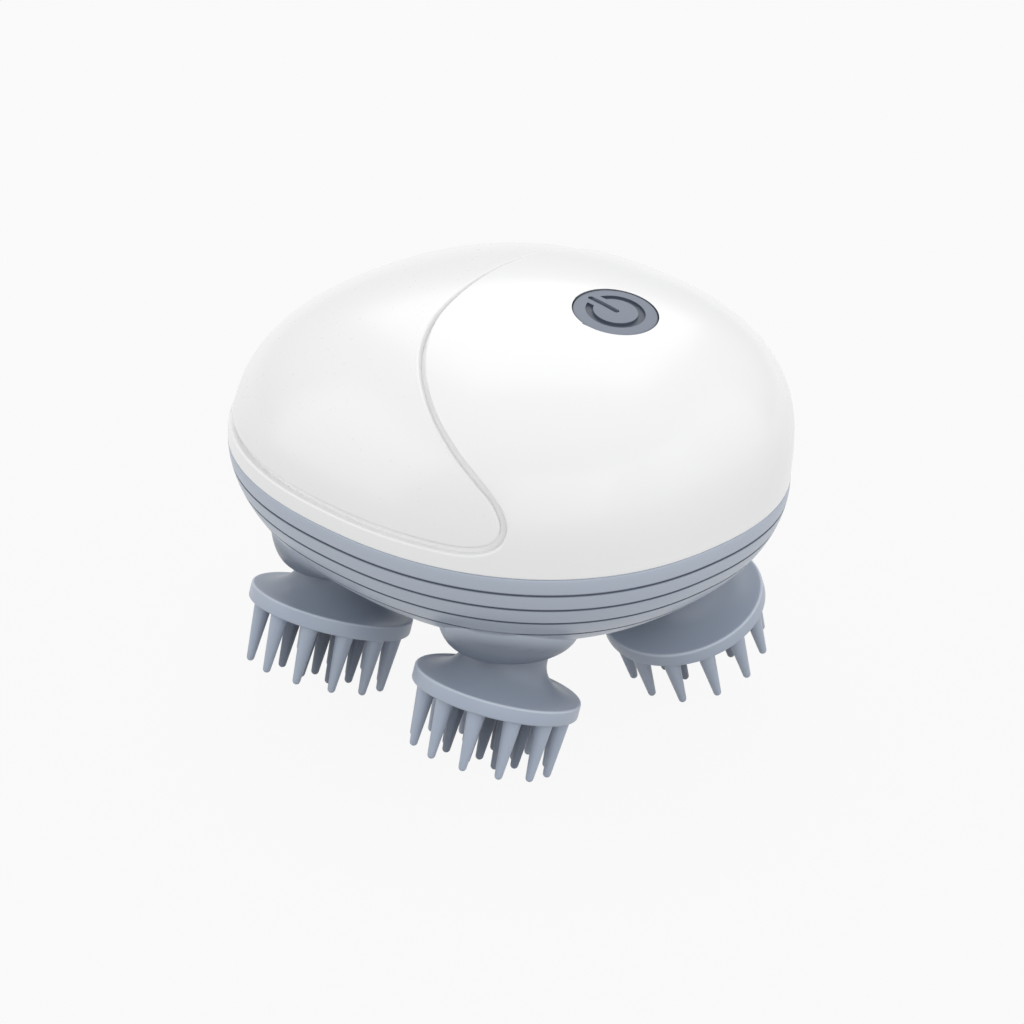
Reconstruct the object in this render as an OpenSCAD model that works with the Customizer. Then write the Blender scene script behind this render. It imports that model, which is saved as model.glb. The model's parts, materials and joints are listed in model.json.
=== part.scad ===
// Electric scalp massager, 1 unit = 1 mm.
// +X is the long axis, +Y the back (charging port side), +Z up.
// The origin is on the surface that the lowest tines stand on, under the middle of the body.
// Inside the modules heights are measured from the parting plane of the two shells.

/* [Shells] */
// Overall length of the body
shell_length = 110; // [108:0.5:116]
// Overall width of the body
shell_width = 92.8; // [92:0.4:98]
// Height of the dome above the parting plane
dome_height = 36; // [35.5:0.5:40]
// Depth of the bowl below the parting plane
bowl_depth = 27; // [26.6:0.1:27.6]
// Wall thickness of both shells
shell_wall = 2.6; // [2.5:0.05:2.8]
// Squareness of the outline seen from above, 2 is an ellipse
plan_power = 2.26; // [2.2:0.02:2.4]
// How far the crown of the dome leans towards +X
crown_lean_x = 8.2; // [7:0.2:8.6]
// How far the crown of the dome leans towards +Y
crown_lean_y = 4; // [3:0.2:4.4]
// Depths of the four fine grooves round the bowl
groove_depths = [3.4, 6.95, 10.75, 15];
// Width of a fine groove
groove_width = 0.4; // [0.3:0.05:0.6]
// Depth of a fine groove
groove_cut = 0.35; // [0.2:0.05:0.5]

/* [Side panel] */
// Height of the lip that runs under the panel
lip_height = 3.4; // [3:0.1:4.2]
// How far forward the panel's edge and tail lie, from where the photograph has them
panel_shift = 0; // [-1.5:0.25:0.5]
// Width of the groove round the panel
panel_gap = 1.2; // [0.8:0.1:1.4]
// How far the panel lies below the dome
panel_inset = 0.5; // [0.3:0.05:0.6]
// Thickness of the panel
panel_wall = 1; // [0.8:0.05:1.1]

/* [Power button] */
// Button centre along X
button_x = 23; // [22:0.25:24]
// Button centre along Y
button_y = 5.4; // [4.6:0.2:6.2]
// Button diameter
button_d = 15.8; // [15:0.1:16.4]
// Button travel
button_travel = 0.6; // [0.4:0.05:0.7]

/* [Massage heads] */
// Distance between head centres along X
head_spacing_x = 45.6; // [45.2:0.2:46]
// Distance between head centres along Y, at their rims
head_spacing_y = 48.1; // [47.8:0.1:48.6]
// Depth of the rim centres below the parting plane
head_drop = 31.45; // [31.2:0.05:31.8]
// Outward tilt of the heads
head_tilt = 19.7; // [19.4:0.1:20]
// Radius of a head's rim
rim_r = 15.8; // [15.2:0.1:16.4]
// Height of the rim wall
rim_height = 3; // [2.8:0.1:3.6]
// Radius of the neck of a head
neck_r = 7.8; // [7.4:0.1:8]
// Height of the flare from the rim to the neck
flare_height = 6; // [5:0.25:6.5]
// Height of the neck above the rim
neck_top = 9; // [8.6:0.1:9.2]
// Depth of the tine tips below the rim
tine_reach = 14.7; // [13.5:0.1:16]
// Number of tines in the outer ring
outer_tines = 12; // [10:2:12]
// Number of tines in the inner ring
inner_tines = 8; // [6:1:8]
// Radius of the outer ring of tines
outer_ring_r = 13.1; // [12.8:0.1:13.4]
// Radius of the inner ring of tines
inner_ring_r = 7; // [6.5:0.1:7.5]
// Radius of a tine at its root
tine_root_r = 1.75; // [1.6:0.05:1.9]
// Radius of a tine's rounded tip
tine_tip_r = 0.75; // [0.65:0.05:0.9]

/* [Drive] */
// Teeth of a head gear
head_gear_teeth = 56; // [56:2:56]
// Teeth of a drive pinion
pinion_teeth = 36; // [36:2:36]
// Teeth of a worm wheel
wheel_teeth = 27; // [27:1:27]
// Module of the worm and its wheels
worm_module = 0.5; // [0.5:0.01:0.5]
// Pitch radius of the worm
worm_pitch_r = 3.2; // [3.1:0.05:3.3]
// Length of the worm
worm_length = 13; // [11:0.5:14]
// Radius of a head shaft
head_shaft_r = 2.5; // [2.3:0.05:2.6]
// Radius of a wheel shaft
wheel_shaft_r = 1.5; // [1.4:0.05:1.6]
// Radius of the motor shaft
motor_shaft_r = 1; // [0.9:0.05:1.1]
// Motor body diameter
motor_d = 20.1; // [19.6:0.1:20.4]
// Motor body width across its flats
motor_flats = 15.4; // [15:0.1:15.8]
// Motor body length
motor_length = 25.1; // [23:0.1:25.4]

/* [Power supply] */
// Battery cell diameter
cell_d = 18.3; // [18:0.1:18.4]
// Battery cell length
cell_length = 50; // [46:0.5:51]
// Battery cell centre along X
cell_x = 26; // [25.8:0.1:26.4]
// Width of the charging socket
usb_width = 8.94; // [8.9:0.01:9]
// Height of the charging socket
usb_height = 3.16; // [3.1:0.01:3.2]
// Depth of the charging socket
usb_depth = 7.35; // [7:0.05:7.6]
// Depth of the charging port below the parting plane
port_drop = 6.3; // [6:0.1:7]

/* [Fasteners] */
// Radius of a housing screw
screw_r = 1.25; // [1.1:0.05:1.4]
// Length of a housing screw under its head
screw_length = 20; // [18:1:22]
// Radius of a housing screw head
screw_head_r = 2.2; // [2:0.1:2.3]
// Radius of the small screws
small_screw_r = 0.85; // [0.8:0.05:1]

/* [Hidden] */

// Colours, as the photograph shows them
shell_white = [0.96, 0.96, 0.96];
panel_white = [0.93, 0.93, 0.94];
blue_grey = [0.64, 0.68, 0.74];
head_grey = [0.6, 0.64, 0.7];
button_grey = [0.54, 0.57, 0.62];
gear_white = [0.9, 0.89, 0.84];
frame_grey = [0.35, 0.36, 0.38];
steel = [0.75, 0.76, 0.78];
bronze = [0.72, 0.52, 0.3];
board_green = [0.1, 0.36, 0.22];
copper = [0.75, 0.42, 0.25];
black = [0.12, 0.12, 0.13];
wrap_blue = [0.15, 0.3, 0.6];

// Clearances
press_gap = 0.02;   // between pieces pressed together
run_gap = 0.04;     // round a turning shaft
seat_gap = 0.05;    // between a soft piece and its core
slide_gap = 0.15;   // round the button
loose_gap = 0.3;    // between pieces that only pass each other

// Shape of the shells: powers of the dome and bowl profiles
dome_rise_power = 2.8;
dome_width_power = 1.78;
lean_power = 1.5;
bowl_fall_power = 1.9;
bowl_width_power = 2.6;
loft_sides = 56;
dome_rings = 12;
bowl_rings = 9;
half_length = shell_length / 2;
half_width = shell_width / 2;
round_fn = 48;

// Heights of the drive along a head's axis, from the rim plane of the heads
recess_top = neck_top + 1.4;
seal_height = 2.5;
seal_top = recess_top + seal_height;
bush_height = 5;
bush_top = seal_top + bush_height;
gear_bottom = bush_top + 4.1;
gear_height = 4.5;
hub_overhang = 1.1;
plate_bottom = gear_bottom + gear_height + hub_overhang + 0.4;
plate_thickness = 2;
plate_top = plate_bottom + plate_thickness;
upper_bush_height = 4;
upper_bush_wall = 1.3;
bush_ring_top = plate_bottom + upper_bush_height;
shaft_top = plate_bottom + upper_bush_height + 0.4;

// Gears
head_x = head_spacing_x / 2;
head_y = head_spacing_y / 2;
gear_module = 2 * head_x / (head_gear_teeth + pinion_teeth);
pressure_angle = 20;
gear_play = 0.1;
worm_play = 0.26;
wheel_pitch_r = worm_module * wheel_teeth / 2;
mesh_distance = worm_pitch_r + wheel_pitch_r;
wheel_face = 3.5;
// Where a wheel shaft comes so near the middle plane that its wheel meets the worm
wheel_middle = (head_y - mesh_distance * cos(head_tilt)) / sin(head_tilt);
worm_z = wheel_middle * cos(head_tilt) - mesh_distance * sin(head_tilt) - head_drop;
roof_bottom = wheel_middle + wheel_face / 2 + 1.9;
roof_top = roof_bottom + plate_thickness;
wheel_shaft_top = roof_top + 0.2;
post_top = gear_bottom - 2;
wheel_bush_height = 5;
wheel_shaft_bottom = post_top - wheel_bush_height - 0.6;

// Frame
frame_reach_x = head_x + 6.2;
frame_outer_y = 7;
frame_inner_y = 20;
frame_post = [8.5, 13];
post_r = 3;
motor_wall = -9.5;
bush_wall = 9;
bush_wall_thickness = 2;
motor_boss_r = 3.05;
motor_boss_height = 1.5;
motor_screw_offset = 6.6;
wall_reach = 14;
motor_wall_thickness = 1.5;
cross_wall_top = worm_z + 8.2;
wall_shoulder = worm_z + 2.8;
wall_shoulder_width = 3.5;
roof_rib_height = 12;
saddle_x = [-30, -16];
saddle_thickness = 2;
// The cell and the board's pads lie below the crown
cell_below_crown = 23.7;
pads_below_crown = 12.2;
cell_z = dome_height - cell_below_crown;
cell_saddle_y = 19.4;
cell_saddle_width = 2.5;
outer_saddle = [7.5, 5.5];
inner_saddle = [3.6, 4];

// Motor
can_wall = 0.9;
cap_thickness = 2.4;
terminal_offset = 6;
terminal = [0.56, 2, 4.3];
terminal_reach = 2;
magnet_arc = 9;
magnet_length = 16;
magnet_inner_r = 6.5;
rotor_r = 6;
rotor_start = 4;
rotor_length = 16;
rotor_slot = [1.8, 1.2];
motor_back = motor_wall - motor_length;

// Housing screws
screw_post_r = 3.4;
// The end screws stand clear of the cell, and the side ones clear of the pinions
end_screw_x = cell_x + cell_d / 2 + screw_post_r + 2.45;
pinion_reach = head_y - gear_bottom * sin(head_tilt)
    + (gear_module * (pinion_teeth / 2 + 1)) * cos(head_tilt);
side_screw_y = pinion_reach + screw_post_r + 1.1;
screw_seat = -14;
screw_head_height = 1.6;
frame_screw = [7, 1.7, 1.2];
board_screw = [4, 1.6, 0.8];
charge_screw = [4, 1.5, 0.8];
motor_screw = [3.2, 1.5, 0.8];

// Panel edge from the back rim over the crown to the tail: X, Y and height above the lip.
// Each point is moved to the skin along a ray from the middle of the lip plane.
panel_edge = [
    [-11, 45.9, 0], [-7.2, 46.1, 0.9], [-4.9, 46, 3.2], [-4.2, 45.4, 8], [-4.4, 41, 18.2], [-5.2, 34, 24.3],
    [-6, 24, 28.6], [-6.3, 14, 30.8], [-5.2, 3, 31.6], [-3.4, -7, 31.1], [-1, -16, 29.4],
    [2.4, -22.4, 27.5], [7, -27.4, 25.3], [12.2, -31.2, 23.1], [18, -34.1, 20.5], [24.6, -35.9, 17.3],
    [30.5, -36.3, 14], [34.8, -35.9, 10.9], [37.2, -35.8, 7], [37.3, -36.5, 4], [36, -37.6, 2],
    [33.4, -39.2, 0.6], [29.7, -40.9, 0]
];
edge_steps = 3;
panel_pegs = [[-32, 4], [-18, 30], [-16, -30]];
peg_r = 1.2;

// Button and board
button_crown_r = 70;
flange_r = button_d / 2 + 1;
flange_height = 0.6;
flange_top = -2.8;
guide_r = flange_r + loose_gap;
guide_depth = 6;
board_top = -10;
board_thickness = 1.2;
board_size = [26, 20];
board_boss = board_size / 2 - [2.6, 2.6];
board_bosses = [[-board_boss.x, board_boss.y], [board_boss.x, -board_boss.y]];
// Corner, length, width and height of each chip on the board
board_chips = [[-11, -8, 5, 4, 1.2], [4, 4, 4, 4, 1], [-12.5, -2, 3, 6, 2.4]];
switch_size = 6;
switch_top = -6.6;
plunger_top = -5.9;
plunger_r = 1.7;

// Charging port
port_edge = bowl_width(port_drop);
port_slope = 19.4;
flap_height = 8.2;
flap_half_width = 8.7;
flap_thickness = 1.2;
flap_recess = 1.25;
flap_proud = 0.15;
hinge_y = 9.4;
root_end = 12.8;
plug_depth = 1.6;
usb_front = -3.2;
slot_gap = 0.42;
charge_board_thickness = 1;
board_underside = -usb_height / 2 - charge_board_thickness - 0.05;
// The charging board reaches past the socket on one side only, for its screw
board_side = [-8.5, 5.6];
board_screw_y = -6.6;
board_end = 1;
board_rest = 3.5;
// The back screw stands beside the charging board
back_screw = [board_side[1] + loose_gap + screw_post_r + 0.1, side_screw_y + 3.8];
screw_places = [[end_screw_x, 0], [-end_screw_x, 0], back_screw, [0, -side_screw_y]];

// Height of the parting plane above the surface that the tines stand on
tip_centre = tine_reach - tine_tip_r;
parting_z = head_drop + tip_centre * cos(head_tilt) + outer_ring_r * sin(head_tilt) + tine_tip_r;

// ---------- shapes ----------

function signed_power(c, e) = sign(c) * pow(abs(c), e);

function outline(rx, ry, z = undef, shift = [0, 0]) = [
    for (i = [0 : loft_sides - 1])
        let (a = 360 * i / loft_sides,
             x = shift.x + rx * signed_power(cos(a), 2 / plan_power),
             y = shift.y + ry * signed_power(sin(a), 2 / plan_power))
        z == undef ? [x, y] : [x, y, z]
];

// Share of the full width of the bowl that is left at a depth
function bowl_width(depth) = pow(1 - pow(depth / bowl_depth, bowl_fall_power), 1 / bowl_width_power);

// Value of the dome's shape at a point: 0 on the skin, less inside
function dome_value(x, y, z) =
    let (u = z / dome_height,
         px = (x - crown_lean_x * pow(u, lean_power)) / half_length,
         py = (y - crown_lean_y * pow(u, lean_power)) / half_width)
    pow(pow(abs(px), plan_power) + pow(abs(py), plan_power), dome_width_power / plan_power)
        + pow(u, dome_rise_power) - 1;

// Height of the dome's skin over a point, by halving the interval
function dome_z(x, y, low = 0, high = dome_height, steps = 24) =
    steps == 0 ? (low + high) / 2
    : let (middle = (low + high) / 2)
      dome_value(x, y, middle) < 0
        ? dome_z(x, y, middle, high, steps - 1)
        : dome_z(x, y, low, middle, steps - 1);

function dome_slope(x, y, step = 0.5) = [
    (dome_z(x + step, y) - dome_z(x - step, y)) / (2 * step),
    (dome_z(x, y + step) - dome_z(x, y - step)) / (2 * step)
];

// Solid through a list of outlines, closed by a flat end at the first and a point at the last
module loft(rings, apex) {
    sides = loft_sides;
    last = len(rings) - 1;
    up = apex.z > rings[0][0].z;
    faces = concat(
        [[for (i = [0 : sides - 1]) i]],
        [for (j = [0 : last - 1], i = [0 : sides - 1]) let (k = (i + 1) % sides)
            [j * sides + i, (j + 1) * sides + i, (j + 1) * sides + k, j * sides + k]],
        [for (i = [0 : sides - 1]) let (k = (i + 1) % sides)
            [last * sides + i, (last + 1) * sides, last * sides + k]]
    );
    polyhedron(
        points = concat([for (ring = rings) each ring], [apex]),
        faces = up ? faces : [for (face = faces) [for (i = [len(face) - 1 : -1 : 0]) face[i]]]
    );
}

// Solid dome, moved in from the outer skin; the skirt carries it below the parting plane
module dome(inset, skirt = 0) {
    rx = half_length - inset;
    ry = half_width - inset;
    rise = dome_height - inset;
    rings = [
        for (j = [0 : dome_rings - 1])
            let (a = 90 * j / dome_rings,
                 width = pow(cos(a), 2 / dome_width_power),
                 up = pow(sin(a), 2 / dome_rise_power),
                 lean = pow(up, lean_power))
            outline(rx * width, ry * width, rise * up, [crown_lean_x, crown_lean_y] * lean)
    ];
    loft(skirt > 0 ? concat([outline(rx, ry, -skirt)], rings) : rings,
        [crown_lean_x, crown_lean_y, rise]);
}

// Solid bowl, moved in from the outer skin, with or without the fine grooves
module bowl(inset, skirt = 0, grooved = false) {
    rx = half_length - inset;
    ry = half_width - inset;
    fall = bowl_depth - inset;
    plain = [
        for (j = [0 : bowl_rings - 1]) let (a = 90 * j / bowl_rings)
            [fall * pow(sin(a), 2 / bowl_fall_power), 0]
    ];
    cuts = grooved
        ? [for (d = groove_depths, edge = [[-1, 0], [-1, 1], [1, 1], [1, 0]])
            [d + edge[0] * groove_width / 2, edge[1] * groove_cut]]
        : [];
    // Rings between the grooves, then those below them
    clear_plain = grooved
        ? [for (p = plain) if (min([for (d = groove_depths) abs(p[0] - d)]) > groove_width) p]
        : plain;
    levels = merged(clear_plain, cuts);
    rings = [
        for (l = levels) let (w = pow(1 - pow(l[0] / fall, bowl_fall_power), 1 / bowl_width_power))
            outline(rx * w - l[1], ry * w - l[1], -l[0])
    ];
    loft(skirt > 0 ? concat([outline(rx, ry, skirt)], rings) : rings, [0, 0, -fall]);
}

// Two lists of levels in one, in order of depth
function merged(a, b) =
    len(a) == 0 ? b
    : len(b) == 0 ? a
    : a[0][0] <= b[0][0] ? concat([a[0]], merged(rest(a), b))
    : concat([b[0]], merged(a, rest(b)));
function rest(list) = len(list) < 2 ? [] : [for (i = [1 : len(list) - 1]) list[i]];

// Smooth curve through a list of points
function curve_point(a, b, c, d, t) = 0.5 * (2 * b + (c - a) * t + (2 * a - 5 * b + 4 * c - d) * t * t
    + (3 * b - a - 3 * c + d) * t * t * t);
function curve(points, steps) = concat(
    [for (i = [0 : len(points) - 2], s = [0 : steps - 1])
        curve_point(points[max(i - 1, 0)], points[i], points[i + 1],
            points[min(i + 2, len(points) - 1)], s / steps)],
    [points[len(points) - 1]]
);
// Where the ray from a centre through a point meets the dome's skin, by halving the interval
function on_skin(centre, point, near = 0.6, far = 1.5, steps = 22) =
    let (middle = (near + far) / 2, p = centre + middle * (point - centre))
    steps == 0 ? p
    : dome_value(p.x, p.y, p.z) < 0
        ? on_skin(centre, point, middle, far, steps - 1)
        : on_skin(centre, point, near, middle, steps - 1);

// The panel's edge on the skin, moved towards the panel by a gap
function skin_edge(gap) =
    let (centre = [0, 0, lip_height],
         path = [for (p = curve(panel_edge, edge_steps)) on_skin(centre, p + centre + [panel_shift, 0, 0])],
         last = len(path) - 1)
    [for (i = [0 : last])
        let (along = path[min(i + 1, last)] - path[max(i - 1, 0)],
             side = cross(along, path[i] - centre),
             moved = path[i] + gap * side / norm(side))
        i == 0 || i == last ? [moved.x, moved.y, lip_height + gap] : moved];

// Everything on the panel's side of its edge and above the lip, with walls square to the skin
module panel_side(gap) {
    edge = skin_edge(gap);
    last = len(edge) - 1;
    floor_z = lip_height + gap;
    centre = [0, 0, floor_z];
    far = shell_length;
    polyhedron(
        points = concat(
            [for (p = edge) centre + 1.4 * (p - centre)],
            [centre, [-far, far, floor_z], [-far, -far, floor_z], [-far, 0, 2 * far]]
        ),
        faces = concat(
            [for (i = [0 : last - 1]) [last + 1, i + 1, i]],
            [for (i = [0 : last - 1]) [last + 4, i, i + 1]],
            [[last + 1, 0, last + 2, last + 3, last],
             [last + 4, last + 2, 0], [last + 4, last + 3, last + 2], [last + 4, last, last + 3]]
        )
    );
}

// Spur gear outline with involute flanks
function involute(angle) = tan(angle) - angle * PI / 180;
function tooth_half_angle(teeth, size, radius, play) =
    let (base = teeth * size / 2 * cos(pressure_angle),
         lean = radius <= base ? 0 : acos(base / radius),
         half = PI / (2 * teeth) + involute(pressure_angle) - involute(lean) - play / (2 * radius))
    max(half * 180 / PI, 0.1);
function gear_outline(teeth, size, play) =
    let (pitch = teeth * size / 2,
         radii = [pitch - 1.25 * size, pitch - 0.6 * size, pitch, pitch + 0.55 * size, pitch + size],
         last = len(radii) - 1)
    [for (i = [0 : teeth - 1], k = [0 : 2 * last + 1])
        let (j = k <= last ? k : 2 * last + 1 - k,
             side = k <= last ? -1 : 1,
             a = 360 * i / teeth + side * tooth_half_angle(teeth, size, radii[j], play))
        radii[j] * [cos(a), sin(a)]];

module spur_gear(teeth, size, height, play) {
    linear_extrude(height) polygon(gear_outline(teeth, size, play));
}

module tube(h, outer, inner, z = 0) {
    translate([0, 0, z]) difference() {
        cylinder(h = h, r = outer, $fn = round_fn);
        translate([0, 0, -1]) cylinder(h = h + 2, r = inner, $fn = round_fn);
    }
}

module rod(from, to, radius) {
    translate([0, 0, from]) cylinder(h = to - from, r = radius, $fn = round_fn);
}

// Rod with a flat on its +X side
module flat_rod(from, to, radius, flat) {
    intersection() {
        rod(from, to, radius);
        translate([-2 * radius, -2 * radius, from]) cube([2 * radius + flat, 4 * radius, to - from]);
    }
}

module screw(length, radius, head_r, head_height) {
    rod(-head_height / 2, length, radius);
    rod(-head_height, 0, head_r);
}

// A wire through a list of points; each length runs a little past its bends
module wire(points, radius) {
    for (i = [0 : len(points) - 2]) {
        step = points[i + 1] - points[i];
        start = i == 0 ? 0 : 0.7 * radius;
        stop = i == len(points) - 2 ? 0 : 0.7 * radius;
        translate(points[i])
            rotate([0, acos(step.z / norm(step)), atan2(step.y, step.x)])
                translate([0, 0, -start]) cylinder(h = norm(step) + start + stop, r = radius, $fn = 8);
    }
}

// ---------- frames of reference ----------

// From the parting plane to the surface that the tines stand on
module lift() {
    translate([0, 0, parting_z]) children();
}

// Axis of the gear train on one side: side is -1 at the front and 1 at the back
module on_side(side) {
    rotate([0, 0, side > 0 ? 180 : 0])
        translate([0, -head_y, -head_drop])
            rotate([-head_tilt, 0, 0]) children();
}

// Axis of one head: end is -1 at the left and 1 at the right
module on_head(side, end) {
    on_side(side) translate([-side * end * head_x, 0, 0]) children();
}

module on_all_heads() {
    for (side = [-1, 1], end = [-1, 1]) on_head(side, end) children();
}

// Square to the dome's skin over a point
module on_dome(x, y) {
    slope = dome_slope(x, y);
    translate([x, y, dome_z(x, y)])
        rotate([0, atan(norm(slope)), atan2(-slope.y, -slope.x)])
            rotate([0, 0, -atan2(-slope.y, -slope.x)])
                children();
}

// Along +X through the worm
module on_worm() {
    translate([0, 0, worm_z]) rotate([0, 90, 0]) children();
}

// Square to the bowl's skin at the charging port: x up, y along the body, z out
module on_port() {
    rotate([0, 0, -90])
        translate([-half_width * port_edge, 0, -port_drop])
            rotate([0, -90 - port_slope, 0]) children();
}

// ---------- shells ----------

module upper_shell() color(shell_white) lift() difference() {
    union() {
        difference() {
            dome(0);
            dome(shell_wall, 1);
        }
        intersection() {
            dome(shell_wall / 2);
            union() {
                for (place = screw_places) translate(place) rod(0, dome_height, screw_post_r);
                on_dome(button_x, button_y) {
                    rod(-guide_depth, 0, guide_r + 1.6);
                    for (place = board_bosses) translate(place) rod(board_top, 0, 2.2);
                }
            }
        }
    }
    difference() {
        panel_side(0);
        dome(panel_inset + panel_wall + seat_gap);
    }
    for (place = panel_pegs)
        on_dome(place.x, place.y) rod(-shell_wall - 3, 1, peg_r + seat_gap);
    for (place = screw_places)
        translate(place) rod(-1, screw_seat + screw_length + 1, screw_r - 0.15);
    on_dome(button_x, button_y) {
        rod(-shell_wall - 2, 3, button_d / 2 + slide_gap);
        rod(-guide_depth - 6, flange_top + slide_gap, guide_r);
        for (place = board_bosses) translate(place) rod(board_top - 1, board_top + 4, small_screw_r - 0.1);
    }
}

module side_panel() color(panel_white) lift() {
    intersection() {
        panel_side(panel_gap);
        difference() {
            dome(panel_inset);
            dome(panel_inset + panel_wall, 1);
        }
    }
    for (place = panel_pegs)
        on_dome(place.x, place.y) rod(-shell_wall - 0.6, -panel_inset - panel_wall / 2, peg_r);
}

// Rounded boss under the bowl that a head's neck turns in
boss_rim_z = -22.7;
boss_rim_r = 11.4;
boss_root_r = 14;
boss_root_z = -14.5;
boss_steps = 6;
boss_y = head_y - (head_drop + boss_rim_z) * tan(head_tilt);

module head_boss() {
    rotate_extrude($fn = 64)
        polygon(concat(
            [[0, boss_root_z], [boss_root_r, boss_root_z]],
            [for (i = [1 : boss_steps]) let (a = 90 * i / boss_steps)
                [boss_rim_r + (boss_root_r - boss_rim_r) * cos(a),
                 boss_root_z + (boss_rim_z - boss_root_z) * sin(a)]],
            [[0, boss_rim_z]]
        ));
}

module lower_shell() color(blue_grey) lift() difference() {
    union() {
        difference() {
            union() {
                bowl(0, 0, true);
                for (x = [-head_x, head_x], y = [-boss_y, boss_y]) translate([x, y, 0]) head_boss();
            }
            bowl(shell_wall, 1);
        }
        intersection() {
            bowl(shell_wall / 2);
            union() {
                for (place = screw_places) translate([place.x, place.y]) rod(-bowl_depth, 0, screw_post_r);
                for (side = [-1, 1]) on_side(side) {
                    rod(0, post_top, wheel_shaft_r + 2.6);
                    for (x = [-frame_post.x, frame_post.x])
                        translate([x, -frame_post.y, 0]) rod(0, plate_bottom, post_r);
                }
                on_port() translate([board_underside - board_rest - 0.05, board_side[0], -9])
                    cube([board_rest, board_side[1] - board_side[0], 8]);
            }
        }
        on_all_heads() rod(recess_top - 2, bush_top, head_shaft_r + 4.3);
    }
    on_all_heads() {
        rod(-2, recess_top, neck_r + 1);
        rod(0, seal_top, head_shaft_r + 2.9);
        rod(0, bush_top + 1, head_shaft_r + 1.5);
    }
    for (side = [-1, 1]) on_side(side) {
        rod(post_top - wheel_bush_height, post_top + 1, wheel_shaft_r + 1.5);
        rod(wheel_shaft_bottom - 0.3, post_top, wheel_shaft_r + loose_gap);
        for (x = [-frame_post.x, frame_post.x])
            translate([x, -frame_post.y, 0]) rod(plate_bottom - 7, plate_bottom + 1, small_screw_r - 0.1);
    }
    for (place = screw_places) translate([place.x, place.y]) {
        rod(-bowl_depth - 1, screw_seat, screw_head_r + loose_gap);
        rod(screw_seat - 1, 1, screw_r + 0.15);
    }
    translate([0, 0, -0.8]) linear_extrude(2) seal_outline(0.85, 1.85);
    on_port() {
        translate([-flap_height / 2 - loose_gap / 2, -flap_half_width - loose_gap, -flap_recess])
            cube([flap_height + loose_gap, flap_half_width + root_end + 2 * loose_gap, 6]);
        rounded_bar(usb_height + 2 * slot_gap, usb_width + 2 * slot_gap, -9, 1);
        room = usb_depth + board_end + 0.45;
        translate([board_underside - 0.05, board_side[0] - loose_gap, usb_front - room])
            cube([usb_height + 2, board_side[1] - board_side[0] + 2 * loose_gap, room]);
        translate([0, root_end - 1.6, 0]) rod(-5, 1, 1.1 + press_gap);
        translate([board_underside, board_screw_y, -7]) rotate([0, 90, 0]) rod(-4, 1, small_screw_r - 0.1);
    }
}

module seal_outline(outer, inner) {
    difference() {
        polygon(outline(half_length - outer, half_width - outer));
        polygon(outline(half_length - inner, half_width - inner));
    }
}

module shell_seal() color(black) lift()
    translate([0, 0, -0.78]) linear_extrude(0.74) seal_outline(0.9, 1.8);

// ---------- frame and drive ----------

// The half of space on the front or back side of the middle plane
module half(side, past) {
    far = shell_length;
    translate([-far, side > 0 ? -past : past - 2 * far, -far]) cube([2 * far, 2 * far, 2 * far]);
}

module gear_frame() color(frame_grey) lift() difference() {
    union() {
        for (side = [-1, 1]) intersection() {
            half(side, 0.3);
            on_side(side) {
                translate([-frame_reach_x, -frame_outer_y, plate_bottom])
                    cube([2 * frame_reach_x, frame_outer_y + frame_inner_y, plate_thickness]);
                for (x = [-frame_post.x, frame_post.x]) {
                    translate([x, -frame_post.y, 0]) rod(plate_bottom, plate_top, post_r + 0.5);
                    translate([x - post_r, -frame_post.y, plate_bottom])
                        cube([2 * post_r, frame_post.y, plate_thickness]);
                }
                for (x = [-head_x, head_x])
                    translate([x, 0, 0]) rod(plate_bottom, bush_ring_top, head_shaft_r + 3);
            }
        }
        for (side = [-1, 1]) intersection() {
            half(side, -1.6);
            on_side(side) translate([motor_wall, -6, roof_bottom])
                cube([bush_wall + bush_wall_thickness - motor_wall, 20, plate_thickness]);
            translate([motor_wall, -wall_reach, worm_z])
                cube([bush_wall + bush_wall_thickness - motor_wall, 2 * wall_reach, roof_rib_height]);
        }
        cross_wall(motor_wall, motor_wall_thickness, wall_reach, cross_wall_top);
        cross_wall(bush_wall, bush_wall_thickness, wall_reach, cross_wall_top);
        for (x = saddle_x) cross_wall(x, saddle_thickness, motor_flats / 2 + 1.6, worm_z + 1);
        for (y = [-cell_saddle_y, cell_saddle_y]) cell_saddle(y);
    }
    // Motor, cell and shaft bores
    on_worm() {
        rod(motor_wall - 1, motor_wall + 4, motor_boss_r + seat_gap);
        rod(bush_wall - 1, bush_wall + 4, motor_shaft_r + 1.5);
        for (offset = [-motor_screw_offset, motor_screw_offset])
            translate([offset, 0, 0]) rod(motor_wall - 1, motor_wall + 3, small_screw_r + 0.1);
        motor_body(motor_wall - motor_length - 6, motor_wall, seat_gap);
    }
    cell_bore();
    for (side = [-1, 1]) on_side(side) {
        for (x = [-head_x, head_x])
            translate([x, 0, 0]) rod(plate_bottom - 1, bush_ring_top + 1, head_shaft_r + upper_bush_wall);
        rod(plate_bottom - 1, plate_top + 1, 3.4);
        rod(roof_bottom - 1, roof_top + 1, wheel_shaft_r + 1.3);
        for (x = [-frame_post.x, frame_post.x])
            translate([x, -frame_post.y, 0]) rod(plate_bottom - 1, plate_top + 1, small_screw_r + 0.1);
        // Room for the wheel to turn between the walls
        rod(roof_bottom - 8, roof_bottom - 0.1, wheel_pitch_r + worm_module + 0.7);
    }
}

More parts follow.
